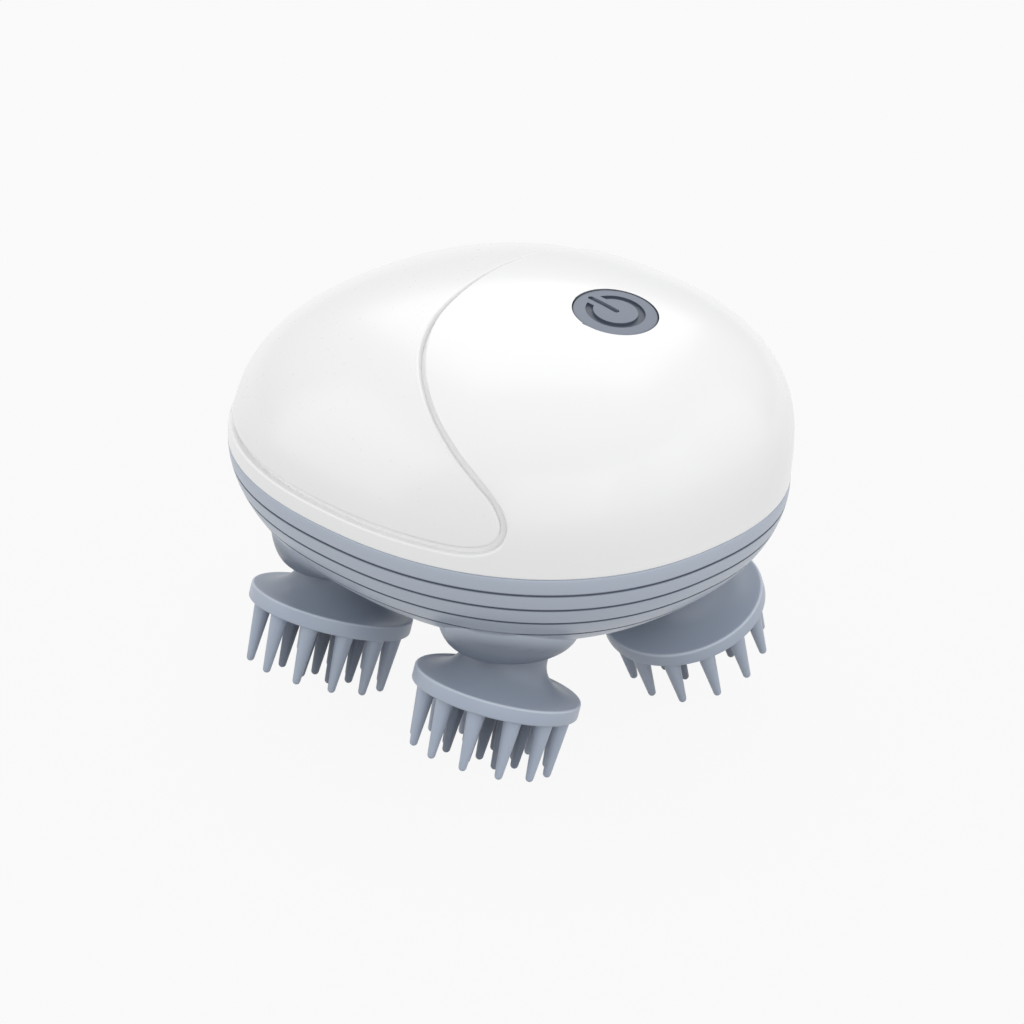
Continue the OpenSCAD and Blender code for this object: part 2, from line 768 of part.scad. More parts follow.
// Upright wall across the frame, standing on the sloping plates
module cross_wall(x, thickness, reach, top) {
    slope = tan(head_tilt);
    valley = (plate_bottom + 1) / cos(head_tilt) - head_drop - head_y * slope;
    translate([x, 0, 0]) rotate([90, 0, 90]) linear_extrude(thickness)
        polygon([
            [-reach, valley + reach * slope], [0, valley], [reach, valley + reach * slope],
            [reach, min(top, wall_shoulder)], [reach - wall_shoulder_width, top],
            [wall_shoulder_width - reach, top], [-reach, min(top, wall_shoulder)]
        ]);
}

// Upright cradle under one end of the cell
module cell_saddle(y) {
    foot = (plate_bottom + 1) / cos(head_tilt) - head_drop - (head_y - abs(y)) * tan(head_tilt);
    translate([frame_reach_x - outer_saddle[0], y - cell_saddle_width / 2, foot])
        cube([outer_saddle[0], cell_saddle_width, cell_z - outer_saddle[1] - foot]);
    translate([cell_x - cell_d / 2 - 1.85, y - cell_saddle_width / 2, foot])
        cube([inner_saddle[0], cell_saddle_width, cell_z - inner_saddle[1] - foot]);
}

module cell_bore() {
    translate([cell_x, -cell_length, cell_z])
        rotate([-90, 0, 0]) cylinder(h = 2 * cell_length, r = cell_d / 2 + seat_gap, $fn = round_fn);
}

// Motor body along the worm's axis, with flats at the front and back
module motor_body(from, to, grow) {
    intersection() {
        rod(from, to, motor_d / 2 + grow);
        translate([-motor_d, -motor_flats / 2 - grow, from])
            cube([2 * motor_d, motor_flats + 2 * grow, to - from]);
    }
}

module motor_can() color(steel) lift() on_worm() difference() {
    union() {
        motor_body(motor_back, motor_wall - seat_gap, 0);
        rod(motor_wall - 1, motor_wall + motor_boss_height, motor_boss_r);
    }
    motor_body(motor_back - 1, motor_wall - 1.2, -can_wall);
    rod(motor_back, motor_wall + 3, motor_shaft_r + run_gap);
    for (offset = [-motor_screw_offset, motor_screw_offset])
        translate([offset, 0, 0]) rod(motor_wall - 3, motor_wall + 1, small_screw_r + press_gap);
}

module motor_end_cap() color(black) lift() on_worm() difference() {
    union() {
        motor_body(motor_back + press_gap, motor_back + cap_thickness, -can_wall - press_gap);
        rod(motor_back - 1, motor_back + 1, motor_boss_r);
    }
    rod(motor_back - 0.2, motor_back + 4, motor_shaft_r + run_gap);
    for (offset = [-terminal_offset, terminal_offset])
        translate([offset - terminal.x / 2 - press_gap, -terminal.y / 2 - seat_gap, motor_back - 2])
            cube([terminal.x + 2 * press_gap, terminal.y + 2 * seat_gap, 6]);
}

module motor_terminals() color(copper) lift() on_worm()
    for (offset = [-terminal_offset, terminal_offset])
        translate([offset - terminal.x / 2, -terminal.y / 2, motor_back - terminal_reach]) cube(terminal);

module motor_magnets() color(black) lift() on_worm() intersection() {
    tube(magnet_length, motor_d / 2 - can_wall - press_gap, magnet_inner_r, motor_back + rotor_start);
    translate([-motor_d, -magnet_arc / 2, motor_back]) cube([2 * motor_d, magnet_arc, motor_length]);
}

module motor_rotor() color(copper) lift() on_worm() difference() {
    rod(motor_back + rotor_start, motor_back + rotor_start + rotor_length, rotor_r);
    rod(motor_back, motor_wall, motor_shaft_r + press_gap);
    for (i = [0 : 2]) rotate([0, 0, 120 * i])
        translate([rotor_r - rotor_slot[0], -rotor_slot[1] / 2, motor_back + rotor_start - 1])
            cube([rotor_r, rotor_slot[1], rotor_length + 2]);
}

module motor_shaft() color(steel) lift() on_worm()
    rod(motor_back, bush_wall + bush_wall_thickness + 0.4, motor_shaft_r);

// Single-start worm with a trapezoid thread
worm_lead = PI * worm_module;
worm_steps = 18;

module worm() color(gear_white) lift() on_worm() difference() {
    union() {
        rod(-worm_length / 2, worm_length / 2, worm_pitch_r - 1.2 * worm_module);
        worm_thread();
    }
    rod(-worm_length, worm_length, motor_shaft_r + press_gap);
}

module worm_thread() {
    turns = floor((worm_length - 2) / worm_lead);
    count = turns * worm_steps;
    root = worm_pitch_r - 1.4 * worm_module;
    tip = worm_pitch_r + 0.95 * worm_module;
    root_half = worm_lead / 4 + 1.4 * worm_module * tan(pressure_angle) - worm_play / 4;
    tip_half = worm_lead / 4 - 0.95 * worm_module * tan(pressure_angle) - worm_play / 4;
    profile = [[root, -root_half], [tip, -tip_half], [tip, tip_half], [root, root_half]];
    // The thread has a gap where the front wheel's middle tooth meets it
    start = 90 + head_tilt;
    points = [
        for (i = [0 : count], p = profile)
            let (turn = i / worm_steps - turns / 2 - 0.5, a = start + 360 * turn)
            [p[0] * cos(a), p[0] * sin(a), turn * worm_lead + worm_lead / 2 + p[1] - worm_lead / 2]
    ];
    faces = concat(
        [[3, 2, 1, 0]],
        [for (i = [0 : count - 1], k = [0 : 3]) let (n = (k + 1) % 4)
            [4 * i + k, 4 * i + n, 4 * i + 4 + n, 4 * i + 4 + k]],
        [[for (k = [0 : 3]) 4 * count + k]]
    );
    polyhedron(points = points, faces = faces, convexity = 6);
}

module worm_bush() color(bronze) lift() on_worm()
    tube(bush_wall_thickness, motor_shaft_r + 1.5 - press_gap, motor_shaft_r + run_gap, bush_wall);

// Wheel teeth point at the worm; the back wheel is turned to match the thread on its own side
module worm_wheel(side) {
    turn = side < 0 ? 0 : -(180 - 2 * head_tilt) / wheel_teeth;
    difference() {
        union() {
            translate([0, 0, wheel_middle - wheel_face / 2])
                rotate([0, 0, 90 + turn]) spur_gear(wheel_teeth, worm_module, wheel_face, worm_play);
            rod(plate_bottom - 0.8, roof_bottom - 0.3, 3);
        }
        rod(0, 2 * roof_top, wheel_shaft_r + press_gap);
    }
}

module pinion() difference() {
    union() {
        translate([0, 0, gear_bottom]) spur_gear(pinion_teeth, gear_module, gear_height, gear_play);
        rod(post_top + 0.3, plate_bottom - 1, 4);
    }
    rod(0, 2 * roof_top, wheel_shaft_r + press_gap);
}

module wheel_shaft() rod(wheel_shaft_bottom, wheel_shaft_top, wheel_shaft_r);

module front_worm_wheel() color(gear_white) lift() on_side(-1) worm_wheel(-1);
module back_worm_wheel() color(gear_white) lift() on_side(1) worm_wheel(1);
module front_pinion() color(gear_white) lift() on_side(-1) pinion();
module back_pinion() color(gear_white) lift() on_side(1) pinion();
module front_wheel_shaft() color(steel) lift() on_side(-1) wheel_shaft();
module back_wheel_shaft() color(steel) lift() on_side(1) wheel_shaft();

module wheel_bushes() color(bronze) lift()
    for (side = [-1, 1]) on_side(side) {
        tube(wheel_bush_height, wheel_shaft_r + 1.5 - press_gap, wheel_shaft_r + run_gap,
            post_top - wheel_bush_height);
        tube(plate_thickness, wheel_shaft_r + 1.3 - press_gap, wheel_shaft_r + run_gap, roof_bottom);
    }

// ---------- heads ----------

module tine(reach) {
    root = -rim_height + 0.3;
    rod_end = -reach + tine_tip_r;
    translate([0, 0, rod_end])
        cylinder(h = root - rod_end, r1 = tine_tip_r, r2 = tine_root_r, $fn = 24);
    translate([0, 0, rod_end]) sphere(r = tine_tip_r, $fn = 24);
}

hub_disc_r = 11.5;
hub_disc = [-1.9, -0.6];
hub_stem_r = 5.2;
flat_x = 1.9;
flare_steps = 7;

module massage_head() {
    difference() {
        rotate_extrude($fn = 72)
            polygon(concat(
                [[0, -rim_height], [rim_r - 0.2, -rim_height], [rim_r, -rim_height + 0.3], [rim_r, -0.6],
                 [rim_r - 0.25, -0.15], [rim_r - 0.8, 0]],
                [for (i = [1 : flare_steps]) let (a = 90 * i / flare_steps)
                    [rim_r - 0.8 - (rim_r - 0.8 - neck_r) * sin(a), flare_height * (1 - cos(a))]],
                [[neck_r, neck_top - 0.5], [neck_r - 0.5, neck_top], [0, neck_top]]
            ));
        rod(hub_disc[0] - seat_gap, hub_disc[1] + seat_gap, hub_disc_r + seat_gap);
        rod(hub_disc[0] - seat_gap, neck_top + 1, hub_stem_r + seat_gap);
    }
    for (i = [0 : outer_tines - 1])
        rotate([0, 0, 360 * i / outer_tines]) translate([outer_ring_r, 0, 0]) tine(tine_reach);
    for (i = [0 : inner_tines - 1])
        rotate([0, 0, 360 * (i + 0.5) / inner_tines]) translate([inner_ring_r, 0, 0]) tine(tine_reach);
    tine(tine_reach + 0.6);
}

module head_hub() difference() {
    union() {
        rod(hub_disc[0], hub_disc[1], hub_disc_r);
        rod(hub_disc[0], neck_top, hub_stem_r);
    }
    flat_rod(0, neck_top + 1, head_shaft_r + press_gap, flat_x + press_gap);
}

module head_shaft() {
    flat_rod(0.2, neck_top + 0.2, head_shaft_r, flat_x);
    rod(neck_top + 0.2, shaft_top, head_shaft_r);
}

module head_gear() difference() {
    union() {
        rotate([0, 0, 180 / head_gear_teeth]) translate([0, 0, gear_bottom])
            spur_gear(head_gear_teeth, gear_module, gear_height, gear_play);
        rod(bush_top + 0.3, plate_bottom - 0.4, head_shaft_r + 2.5);
    }
    rod(0, shaft_top, head_shaft_r + press_gap);
    for (i = [0 : 5]) rotate([0, 0, 60 * i + 30])
        translate([9.2, 0, 0]) rod(gear_bottom - 1, gear_bottom + gear_height + 1, 2.2);
}

module front_left_head() color(head_grey) lift() on_head(-1, -1) massage_head();
module front_left_hub() color(black) lift() on_head(-1, -1) head_hub();
module front_left_shaft() color(steel) lift() on_head(-1, -1) head_shaft();
module front_left_gear() color(gear_white) lift() on_head(-1, -1) head_gear();
module front_right_head() color(head_grey) lift() on_head(-1, 1) massage_head();
module front_right_hub() color(black) lift() on_head(-1, 1) head_hub();
module front_right_shaft() color(steel) lift() on_head(-1, 1) head_shaft();
module front_right_gear() color(gear_white) lift() on_head(-1, 1) head_gear();
module back_left_head() color(head_grey) lift() on_head(1, -1) massage_head();
module back_left_hub() color(black) lift() on_head(1, -1) head_hub();
module back_left_shaft() color(steel) lift() on_head(1, -1) head_shaft();
module back_left_gear() color(gear_white) lift() on_head(1, -1) head_gear();
module back_right_head() color(head_grey) lift() on_head(1, 1) massage_head();
module back_right_hub() color(black) lift() on_head(1, 1) head_hub();
module back_right_shaft() color(steel) lift() on_head(1, 1) head_shaft();
module back_right_gear() color(gear_white) lift() on_head(1, 1) head_gear();

module lower_bushes() color(bronze) lift() on_all_heads()
    tube(bush_height, head_shaft_r + 1.5 - press_gap, head_shaft_r + run_gap, seal_top);

module upper_bushes() color(bronze) lift() on_all_heads()
    tube(upper_bush_height, head_shaft_r + upper_bush_wall - press_gap, head_shaft_r + run_gap, plate_bottom);

module shaft_seals() color(black) lift() on_all_heads() difference() {
    tube(seal_height, head_shaft_r + 2.9 - press_gap, head_shaft_r + run_gap, recess_top);
    translate([0, 0, recess_top - 0.01]) tube(1.2, head_shaft_r + 1.9, head_shaft_r + 0.8);
}

// ---------- button, switch and board ----------

// Height of the button's crown at a distance from its middle
function button_crown(r) = -0.1 - r * r / (2 * button_crown_r);
crown_r = button_d / 2 - 0.4;
button_stem_r = 2;

module power_button() color(button_grey) lift() on_dome(button_x, button_y) difference() {
    rotate_extrude($fn = 64)
        polygon(concat(
            [for (i = [0 : 3]) let (r = i * crown_r / 3) [r, button_crown(r)]],
            [[button_d / 2, button_crown(button_d / 2) - 0.35], [button_d / 2, flange_top],
             [flange_r, flange_top], [flange_r, flange_top - flange_height],
             [button_stem_r, flange_top - flange_height], [button_stem_r, plunger_top + press_gap],
             [0, plunger_top + press_gap]]
        ));
    power_symbol(0.45);
}

// Power sign sunk into the button: a ring open on one side and a bar through the opening
symbol_outer = 5.55;
symbol_inner = 4.15;
symbol_gap = 3.5;
symbol_bar = [-0.7, 6.5];
symbol_bar_width = 1.16;
symbol_turn = 185;

module power_symbol(depth) rotate([0, 0, symbol_turn]) {
    bottom = button_crown(symbol_outer) - depth;
    difference() {
        tube(4, symbol_outer, symbol_inner, bottom);
        translate([2, -symbol_gap / 2, bottom - 1]) cube([6, symbol_gap, 8]);
    }
    bar_r = symbol_bar_width / 2;
    for (x = [symbol_bar[0] + bar_r, symbol_bar[1] - bar_r]) translate([x, 0, 0]) rod(bottom, 3, bar_r);
    translate([symbol_bar[0] + bar_r, -bar_r, bottom])
        cube([symbol_bar[1] - symbol_bar[0] - symbol_bar_width, symbol_bar_width, 3 - bottom]);
}

module switch_plunger() color(black) lift() on_dome(button_x, button_y)
    rod(plunger_top - 1.3, plunger_top, plunger_r);

module power_switch() color(steel) lift() on_dome(button_x, button_y) difference() {
    translate([-switch_size / 2, -switch_size / 2, board_top + press_gap])
        cube([switch_size, switch_size, switch_top - board_top - press_gap]);
    rod(plunger_top - 1.3 - button_travel - 0.2, switch_top + 1, plunger_r + seat_gap);
}

module main_board() color(board_green) lift() on_dome(button_x, button_y) difference() {
    union() {
        translate([-board_size.x / 2, -board_size.y / 2, board_top - board_thickness])
            cube([board_size.x, board_size.y, board_thickness]);
        for (chip = board_chips)
            translate([chip[0], chip[1], board_top - 0.1]) cube([chip[2], chip[3], chip[4]]);
    }
    for (place = board_bosses) translate(place) rod(board_top - 3, board_top + 1, small_screw_r + 0.1);
}

// ---------- battery and charging ----------

module battery_cell() color(wrap_blue) lift()
    translate([cell_x, -cell_length / 2, cell_z]) rotate([-90, 0, 0]) {
        cylinder(h = cell_length - 0.8, r = cell_d / 2, $fn = round_fn);
        cylinder(h = cell_length, r = 2.8, $fn = round_fn);
    }

// Bar with round ends along y, used for the socket and its slot
module rounded_bar(height, width, from, to) {
    reach = (width - height) / 2;
    for (y = [-reach, reach]) translate([0, y, 0]) rod(from, to, height / 2);
    translate([-height / 2, -reach, from]) cube([height, 2 * reach, to - from]);
}

module usb_socket() color(steel) lift() on_port() {
    back = usb_front - usb_depth;
    difference() {
        rounded_bar(usb_height, usb_width, back, usb_front);
        rounded_bar(usb_height - 0.6, usb_width - 0.6, back + 1.2, usb_front + 1);
    }
    translate([-0.35, -3.35, back + 0.6]) cube([0.7, 6.7, usb_depth - 1.4]);
}

module charge_board() color(board_green) lift() on_port() difference() {
    translate([board_underside, board_side[0], usb_front - usb_depth - board_end])
        cube([charge_board_thickness, board_side[1] - board_side[0], usb_depth + board_end - 0.4]);
    translate([board_underside, board_screw_y, -7]) rotate([0, 90, 0]) rod(-1, 3, small_screw_r + 0.1);
}

// Flat-backed plate let into the bowl's wall, with its face on the skin
module port_plate(from_y, to_y) {
    intersection() {
        bowl(-flap_proud);
        on_port() translate([-flap_height / 2 + loose_gap / 2, from_y, -flap_thickness])
            cube([flap_height - loose_gap, to_y - from_y, 2 * flap_thickness]);
    }
}

module port_flap() color(blue_grey) lift() {
    port_plate(-flap_half_width, hinge_y - 0.1);
    plug = [-flap_thickness - plug_depth, 0.1 - flap_thickness];
    on_port() rounded_bar(usb_height - 0.1, usb_width - 0.1, plug[0], plug[1]);
}

module flap_root() color(blue_grey) lift() {
    port_plate(hinge_y + 0.2, root_end);
    on_port() translate([0, root_end - 1.6, 0]) rod(-4, 0.1 - flap_thickness, 1.1);
}

// ---------- fasteners and leads ----------

module housing_screws() color(steel) lift()
    for (place = screw_places) translate([place.x, place.y, screw_seat])
        screw(screw_length, screw_r - 0.17, screw_head_r, screw_head_height);

module frame_screws() color(steel) lift()
    for (side = [-1, 1]) on_side(side)
        for (x = [-frame_post.x, frame_post.x])
            translate([x, -frame_post.y, plate_top]) rotate([180, 0, 0])
                screw(frame_screw[0], small_screw_r - 0.12, frame_screw[1], frame_screw[2]);

module board_screws() color(steel) lift() {
    on_dome(button_x, button_y) for (place = board_bosses)
        translate([place.x, place.y, board_top - board_thickness])
            screw(board_screw[0], small_screw_r - 0.12, board_screw[1], board_screw[2]);
    on_port() translate([board_underside + charge_board_thickness, board_screw_y, -7]) rotate([0, -90, 0])
        screw(charge_screw[0], small_screw_r - 0.12, charge_screw[1], charge_screw[2]);
}

module motor_screws() color(steel) lift() on_worm()
    for (offset = [-motor_screw_offset, motor_screw_offset])
        translate([offset, 0, motor_wall + motor_boss_height]) rotate([180, 0, 0])
            screw(motor_screw[0], small_screw_r, motor_screw[1], motor_screw[2]);

lead_r = 0.5;
// Where the leads meet the board's underside, and the ends of the cell and the motor
pad_x = button_x - 7;
pad_z = dome_height - pads_below_crown;
cell_pole = cell_length / 2 + 0.95;
terminal_x = motor_back - 1.3;
battery_routes = [
    [[cell_x, cell_pole, cell_z], [cell_x - 1, cell_pole + 2.5, cell_z + 2.7],
     [cell_x - 5, cell_pole, cell_z + 7.7], [cell_x - 8.5, 16, pad_z - 1.6], [pad_x, 9.8, pad_z]],
    [[cell_x, -cell_pole, cell_z], [cell_x - 1, -cell_pole - 2.5, cell_z + 2.7],
     [cell_x - 6.5, -cell_pole, cell_z + 8.2], [pad_x, -6, pad_z - 0.8], [pad_x, 1, pad_z]]
];
motor_routes = [
    [[terminal_x, 1.5, worm_z + 6], [terminal_x + 0.5, 5, worm_z + 10.8], [-26, 5, pad_z - 2.3],
     [-4, 6, pad_z - 0.6], [pad_x, 4, pad_z]],
    [[terminal_x, 1.5, worm_z - 6], [terminal_x - 1.1, 6, worm_z - 4.2],
     [terminal_x - 1.1, 7.4, worm_z + 7.8], [-27, 7.6, pad_z - 3.8], [-4, 8.4, pad_z - 1.2],
     [pad_x, 5.8, pad_z]]
];
charge_routes = [
    [[-2.4, 35.4, 0.2], [-3, 33.5, 4], [-6, 30, 13], [2, 18, pad_z - 2.8], [12, 8.4, pad_z - 0.6],
     [pad_x, 7.4, pad_z]],
    [[2.4, 35.4, 0.2], [1.4, 32.4, 5], [-1, 27, 14], [4.4, 19.6, pad_z - 3.2], [12.6, 10, pad_z - 0.9],
     [pad_x, 8.6, pad_z]]
];

module battery_leads() color([0.75, 0.1, 0.1]) lift() for (route = battery_routes) wire(route, lead_r);
module motor_leads() color([0.1, 0.1, 0.1]) lift() for (route = motor_routes) wire(route, lead_r);
module charge_leads() color([0.8, 0.7, 0.2]) lift() for (route = charge_routes) wire(route, lead_r);

upper_shell();
side_panel();
lower_shell();
shell_seal();
gear_frame();
power_button();
switch_plunger();
power_switch();
main_board();
motor_can();
motor_end_cap();
motor_magnets();
motor_terminals();
motor_rotor();
motor_shaft();
worm();
worm_bush();
front_worm_wheel();
front_pinion();
front_wheel_shaft();
back_worm_wheel();
back_pinion();
back_wheel_shaft();
wheel_bushes();
front_left_head();
front_left_hub();
front_left_shaft();
front_left_gear();
front_right_head();
front_right_hub();
front_right_shaft();
front_right_gear();
back_left_head();
back_left_hub();
back_left_shaft();
back_left_gear();
back_right_head();
back_right_hub();
back_right_shaft();
back_right_gear();
lower_bushes();
upper_bushes();
shaft_seals();
battery_cell();
charge_board();
usb_socket();
port_flap();
flap_root();
housing_screws();
frame_screws();
board_screws();
motor_screws();
battery_leads();
motor_leads();
charge_leads();
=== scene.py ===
import bpy
import json
import math
import numpy as np
from mathutils import Matrix, Vector


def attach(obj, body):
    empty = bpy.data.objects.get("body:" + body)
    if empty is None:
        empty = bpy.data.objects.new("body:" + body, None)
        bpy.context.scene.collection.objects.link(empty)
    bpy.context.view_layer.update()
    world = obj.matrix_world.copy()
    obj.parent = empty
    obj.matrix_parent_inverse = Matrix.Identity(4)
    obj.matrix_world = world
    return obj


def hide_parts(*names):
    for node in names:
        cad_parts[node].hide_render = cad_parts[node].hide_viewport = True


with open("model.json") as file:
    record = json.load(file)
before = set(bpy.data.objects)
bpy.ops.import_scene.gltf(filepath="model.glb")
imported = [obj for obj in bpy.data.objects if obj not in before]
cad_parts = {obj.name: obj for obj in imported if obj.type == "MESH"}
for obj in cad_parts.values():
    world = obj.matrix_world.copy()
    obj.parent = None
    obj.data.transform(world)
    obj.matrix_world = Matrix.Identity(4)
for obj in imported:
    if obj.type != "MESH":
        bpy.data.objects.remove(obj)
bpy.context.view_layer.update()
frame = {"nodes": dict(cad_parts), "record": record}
mm = 0.001

# The body as the CAD has it, in millimetres, with heights from the parting plane
body = {
    "halfLength": 55.0, "halfWidth": 46.4, "domeHeight": 36.0, "bowlDepth": 27.0,
    "planPower": 2.26, "risePower": 2.8, "domeWidthPower": 1.78,
    "leanX": 8.2, "leanY": 4.0, "leanPower": 1.5,
    "fallPower": 1.9, "bowlWidthPower": 2.6,
    "wall": 2.6, "partingZ": 49.74946, "rimRadius": 0.3, "rimGap": 0.015,
}


def deselectAll():
    if bpy.context.object and bpy.context.object.mode != "OBJECT":
        bpy.ops.object.mode_set(mode="OBJECT")
    bpy.ops.object.select_all(action="DESELECT")


def makeActive(piece):
    deselectAll()
    piece.select_set(True)
    bpy.context.view_layer.objects.active = piece


def settle(piece, name, angle=40):
    # doubles out, normals out, smooth where the surface is smooth
    makeActive(piece)
    bpy.ops.object.transform_apply(location=True, rotation=True, scale=True)
    bpy.ops.object.mode_set(mode="EDIT")
    bpy.ops.mesh.select_all(action="SELECT")
    bpy.ops.mesh.remove_doubles(threshold=0.000002)
    bpy.ops.mesh.normals_make_consistent(inside=False)
    bpy.ops.object.mode_set(mode="OBJECT")
    bpy.ops.object.shade_smooth_by_angle(angle=math.radians(angle))
    piece.name = name
    piece.data.name = name
    return piece


def sheetFromRows(name, rows, angle=40):
    # a grid primitive whose vertices are set to the rows of points, given in millimetres
    rows = np.asarray(rows, float)
    count, across = rows.shape[0], rows.shape[1]
    deselectAll()
    bpy.ops.mesh.primitive_grid_add(x_subdivisions=across - 1, y_subdivisions=count - 1, size=1)
    piece = bpy.context.object
    points = rows.reshape(-1, 3) + np.array([0, 0, body["partingZ"]])
    piece.data.vertices.foreach_set("co", (points * mm).ravel())
    piece.data.update()
    return settle(piece, name, angle)


def copyTurned(piece, name, place):
    twin = piece.copy()
    twin.data = piece.data.copy()
    bpy.context.scene.collection.objects.link(twin)
    twin.matrix_world = place @ twin.matrix_world
    makeActive(twin)
    bpy.ops.object.transform_apply(location=True, rotation=True, scale=True)
    twin.name = name
    twin.data.name = name
    return twin


def cut(piece, tool, operation="DIFFERENCE"):
    # the tool is used up
    makeActive(piece)
    step = piece.modifiers.new(operation.lower(), "BOOLEAN")
    step.operation = operation
    step.solver = "EXACT"
    step.object = tool
    bpy.ops.object.modifier_apply(modifier=step.name)
    bpy.data.objects.remove(tool)


def mark(piece, name, shareAt, domain):
    # a share from the place in millimetres, for the finish to read: sharp on faces, soft on points
    items, place = (piece.data.polygons, "center") if domain == "FACE" else (piece.data.vertices, "co")
    places = np.empty(len(items) * 3, np.float32)
    items.foreach_get(place, places)
    shares = shareAt(places.reshape(-1, 3) / mm).astype(np.float32)
    piece.data.attributes.new(name, "FLOAT", domain).data.foreach_set("value", shares)


def turned(name, profile, steps=96, angle=40):
    # a profile of (radius, height) in millimetres, extruded point by point and spun round Z
    deselectAll()
    bpy.ops.mesh.primitive_plane_add(size=1)
    piece = bpy.context.object
    bpy.ops.object.mode_set(mode="EDIT")
    bpy.ops.mesh.select_all(action="SELECT")
    bpy.ops.mesh.merge(type="CENTER")
    first = profile[0]
    bpy.ops.transform.translate(value=(first[0] * mm, 0, first[1] * mm))
    for before, after in zip(profile, profile[1:]):
        move = ((after[0] - before[0]) * mm, 0, (after[1] - before[1]) * mm)
        bpy.ops.mesh.extrude_vertices_move(TRANSFORM_OT_translate={"value": move})
    bpy.ops.mesh.select_all(action="SELECT")
    bpy.ops.mesh.spin(steps=steps, angle=math.tau, center=(0, 0, 0), axis=(0, 0, 1))
    bpy.ops.object.mode_set(mode="OBJECT")
    return settle(piece, name, angle)


def joined(pieces, name):
    makeActive(pieces[0])
    for piece in pieces[1:]:
        piece.select_set(True)
    bpy.ops.object.join()
    pieces[0].name = name
    return pieces[0]


# Shapes shared by the shells
def whereOutside(low, high, outside, steps):
    # halving between a value inside the skin and one outside it
    for _ in range(steps):
        middle = (low + high) / 2
        beyond = outside(middle)
        high, low = np.where(beyond, middle, high), np.where(beyond, low, middle)
    return middle


def signedPower(value, power):
    return np.sign(value) * np.abs(value) ** power


def outline(angles, rx, ry):
    power = 2 / body["planPower"]
    return rx * signedPower(np.cos(angles), power), ry * signedPower(np.sin(angles), power)


def ringAngle(x, y):
    # the angle at which outline() passes a place on the plan
    power = body["planPower"] / 2
    return np.arctan2(np.sign(y) * (np.abs(y) / body["halfWidth"]) ** power,
                      np.sign(x) * (np.abs(x) / body["halfLength"]) ** power)


def domeRing(angles, height, inset=0.0):
    u = height / (body["domeHeight"] - inset)
    width = (1 - u ** body["risePower"]) ** (1 / body["domeWidthPower"])
    lean = u ** body["leanPower"]
    x, y = outline(angles, (body["halfLength"] - inset) * width, (body["halfWidth"] - inset) * width)
    return np.stack([x + body["leanX"] * lean, y + body["leanY"] * lean, np.full_like(x, height)], -1)


def domeValue(points, inset):
    u = np.clip(points[..., 2], 0, None) / (body["domeHeight"] - inset)
    lean = u ** body["leanPower"]
    px = np.abs(points[..., 0] - body["leanX"] * lean) / (body["halfLength"] - inset)
    py = np.abs(points[..., 1] - body["leanY"] * lean) / (body["halfWidth"] - inset)
    plan = px ** body["planPower"] + py ** body["planPower"]
    return plan ** (body["domeWidthPower"] / body["planPower"]) + u ** body["risePower"] - 1


def onDome(points, inset=0.0):
    # each point is moved to the skin along its ray from the middle of the parting plane
    points = np.asarray(points, float)
    inset = np.broadcast_to(inset, points.shape[:-1])
    low, high = np.full(points.shape[:-1], 0.2), np.full(points.shape[:-1], 3.0)
    grow = whereOutside(low, high, lambda share: domeValue(points * share[..., None], inset) > 0, 44)
    return points * grow[..., None]


def bowlRing(angles, depth, inset=0.0, cutIn=0.0):
    width = (1 - (depth / (body["bowlDepth"] - inset)) ** body["fallPower"]) ** (1 / body["bowlWidthPower"])
    x, y = outline(angles, (body["halfLength"] - inset) * width - cutIn,
                   (body["halfWidth"] - inset) * width - cutIn)
    return np.stack([x, y, np.full_like(x, -depth)], -1)


def smoothCurve(points, steps):
    # Catmull-Rom curve, resampled to equal spacing
    points = np.asarray(points, float)
    padded = np.vstack([points[:1], points, points[-1:]])
    fine = []
    for i in range(len(points) - 1):
        a, b, c, d = padded[i], padded[i + 1], padded[i + 2], padded[i + 3]
        t = np.linspace(0, 1, 40, endpoint=False)[:, None]
        fine.append(0.5 * (2 * b + (c - a) * t + (2 * a - 5 * b + 4 * c - d) * t ** 2
                           + (3 * b - a - 3 * c + d) * t ** 3))
    fine = np.vstack(fine + [points[-1:]])
    return evenly(fine, steps)


def evenly(path, steps):
    length = np.concatenate([[0], np.cumsum(np.linalg.norm(np.diff(path, axis=0), axis=1))])
    want = np.linspace(0, length[-1], steps + 1)
    return np.stack([np.interp(want, length, path[:, k]) for k in range(3)], -1)


# The path of the side panel's edge over the dome, and what follows it
panelEdge = {
    "lipHeight": 3.4, "gap": 1.2, "inset": 0.5, "wall": 1.0, "seat": 0.05,
    "shellEdgeRadius": 0.4, "panelEdgeRadius": 0.45, "steps": 300, "blendReach": 10, "blendSteps": 14,
    # X, Y and height above the lip, from the back corner over the crown to the tail
    "path": [
        (-11, 45.9, 0), (-7.2, 46.1, 0.9), (-4.9, 46, 3.2), (-4.2, 45.4, 8), (-4.4, 41, 18.2),
        (-5.2, 34, 24.3), (-6, 24, 28.6), (-6.3, 14, 30.8), (-5.2, 3, 31.6), (-3.4, -7, 31.1),
        (-1, -16, 29.4),
        (2.4, -22.4, 27.5), (7, -27.4, 25.3), (12.2, -31.2, 23.1), (18, -34.1, 20.5), (24.6, -35.9, 17.3),
        (30.5, -36.3, 14), (34.8, -35.9, 10.9), (37.2, -35.8, 7), (37.3, -36.5, 4), (36, -37.6, 2),
        (33.4, -39.2, 0.6), (29.7, -40.9, 0)],
    # where the shell's mesh lines from each of those points meet the rim, in degrees round the body
    "rimAngles": [99, 96.5, 94, 90, 83, 73, 58, 43, 27, 12, -1, -10, -17, -23, -28, -33, -38, -42, -46,
                  -50, -54, -57.5, -60.5],
}


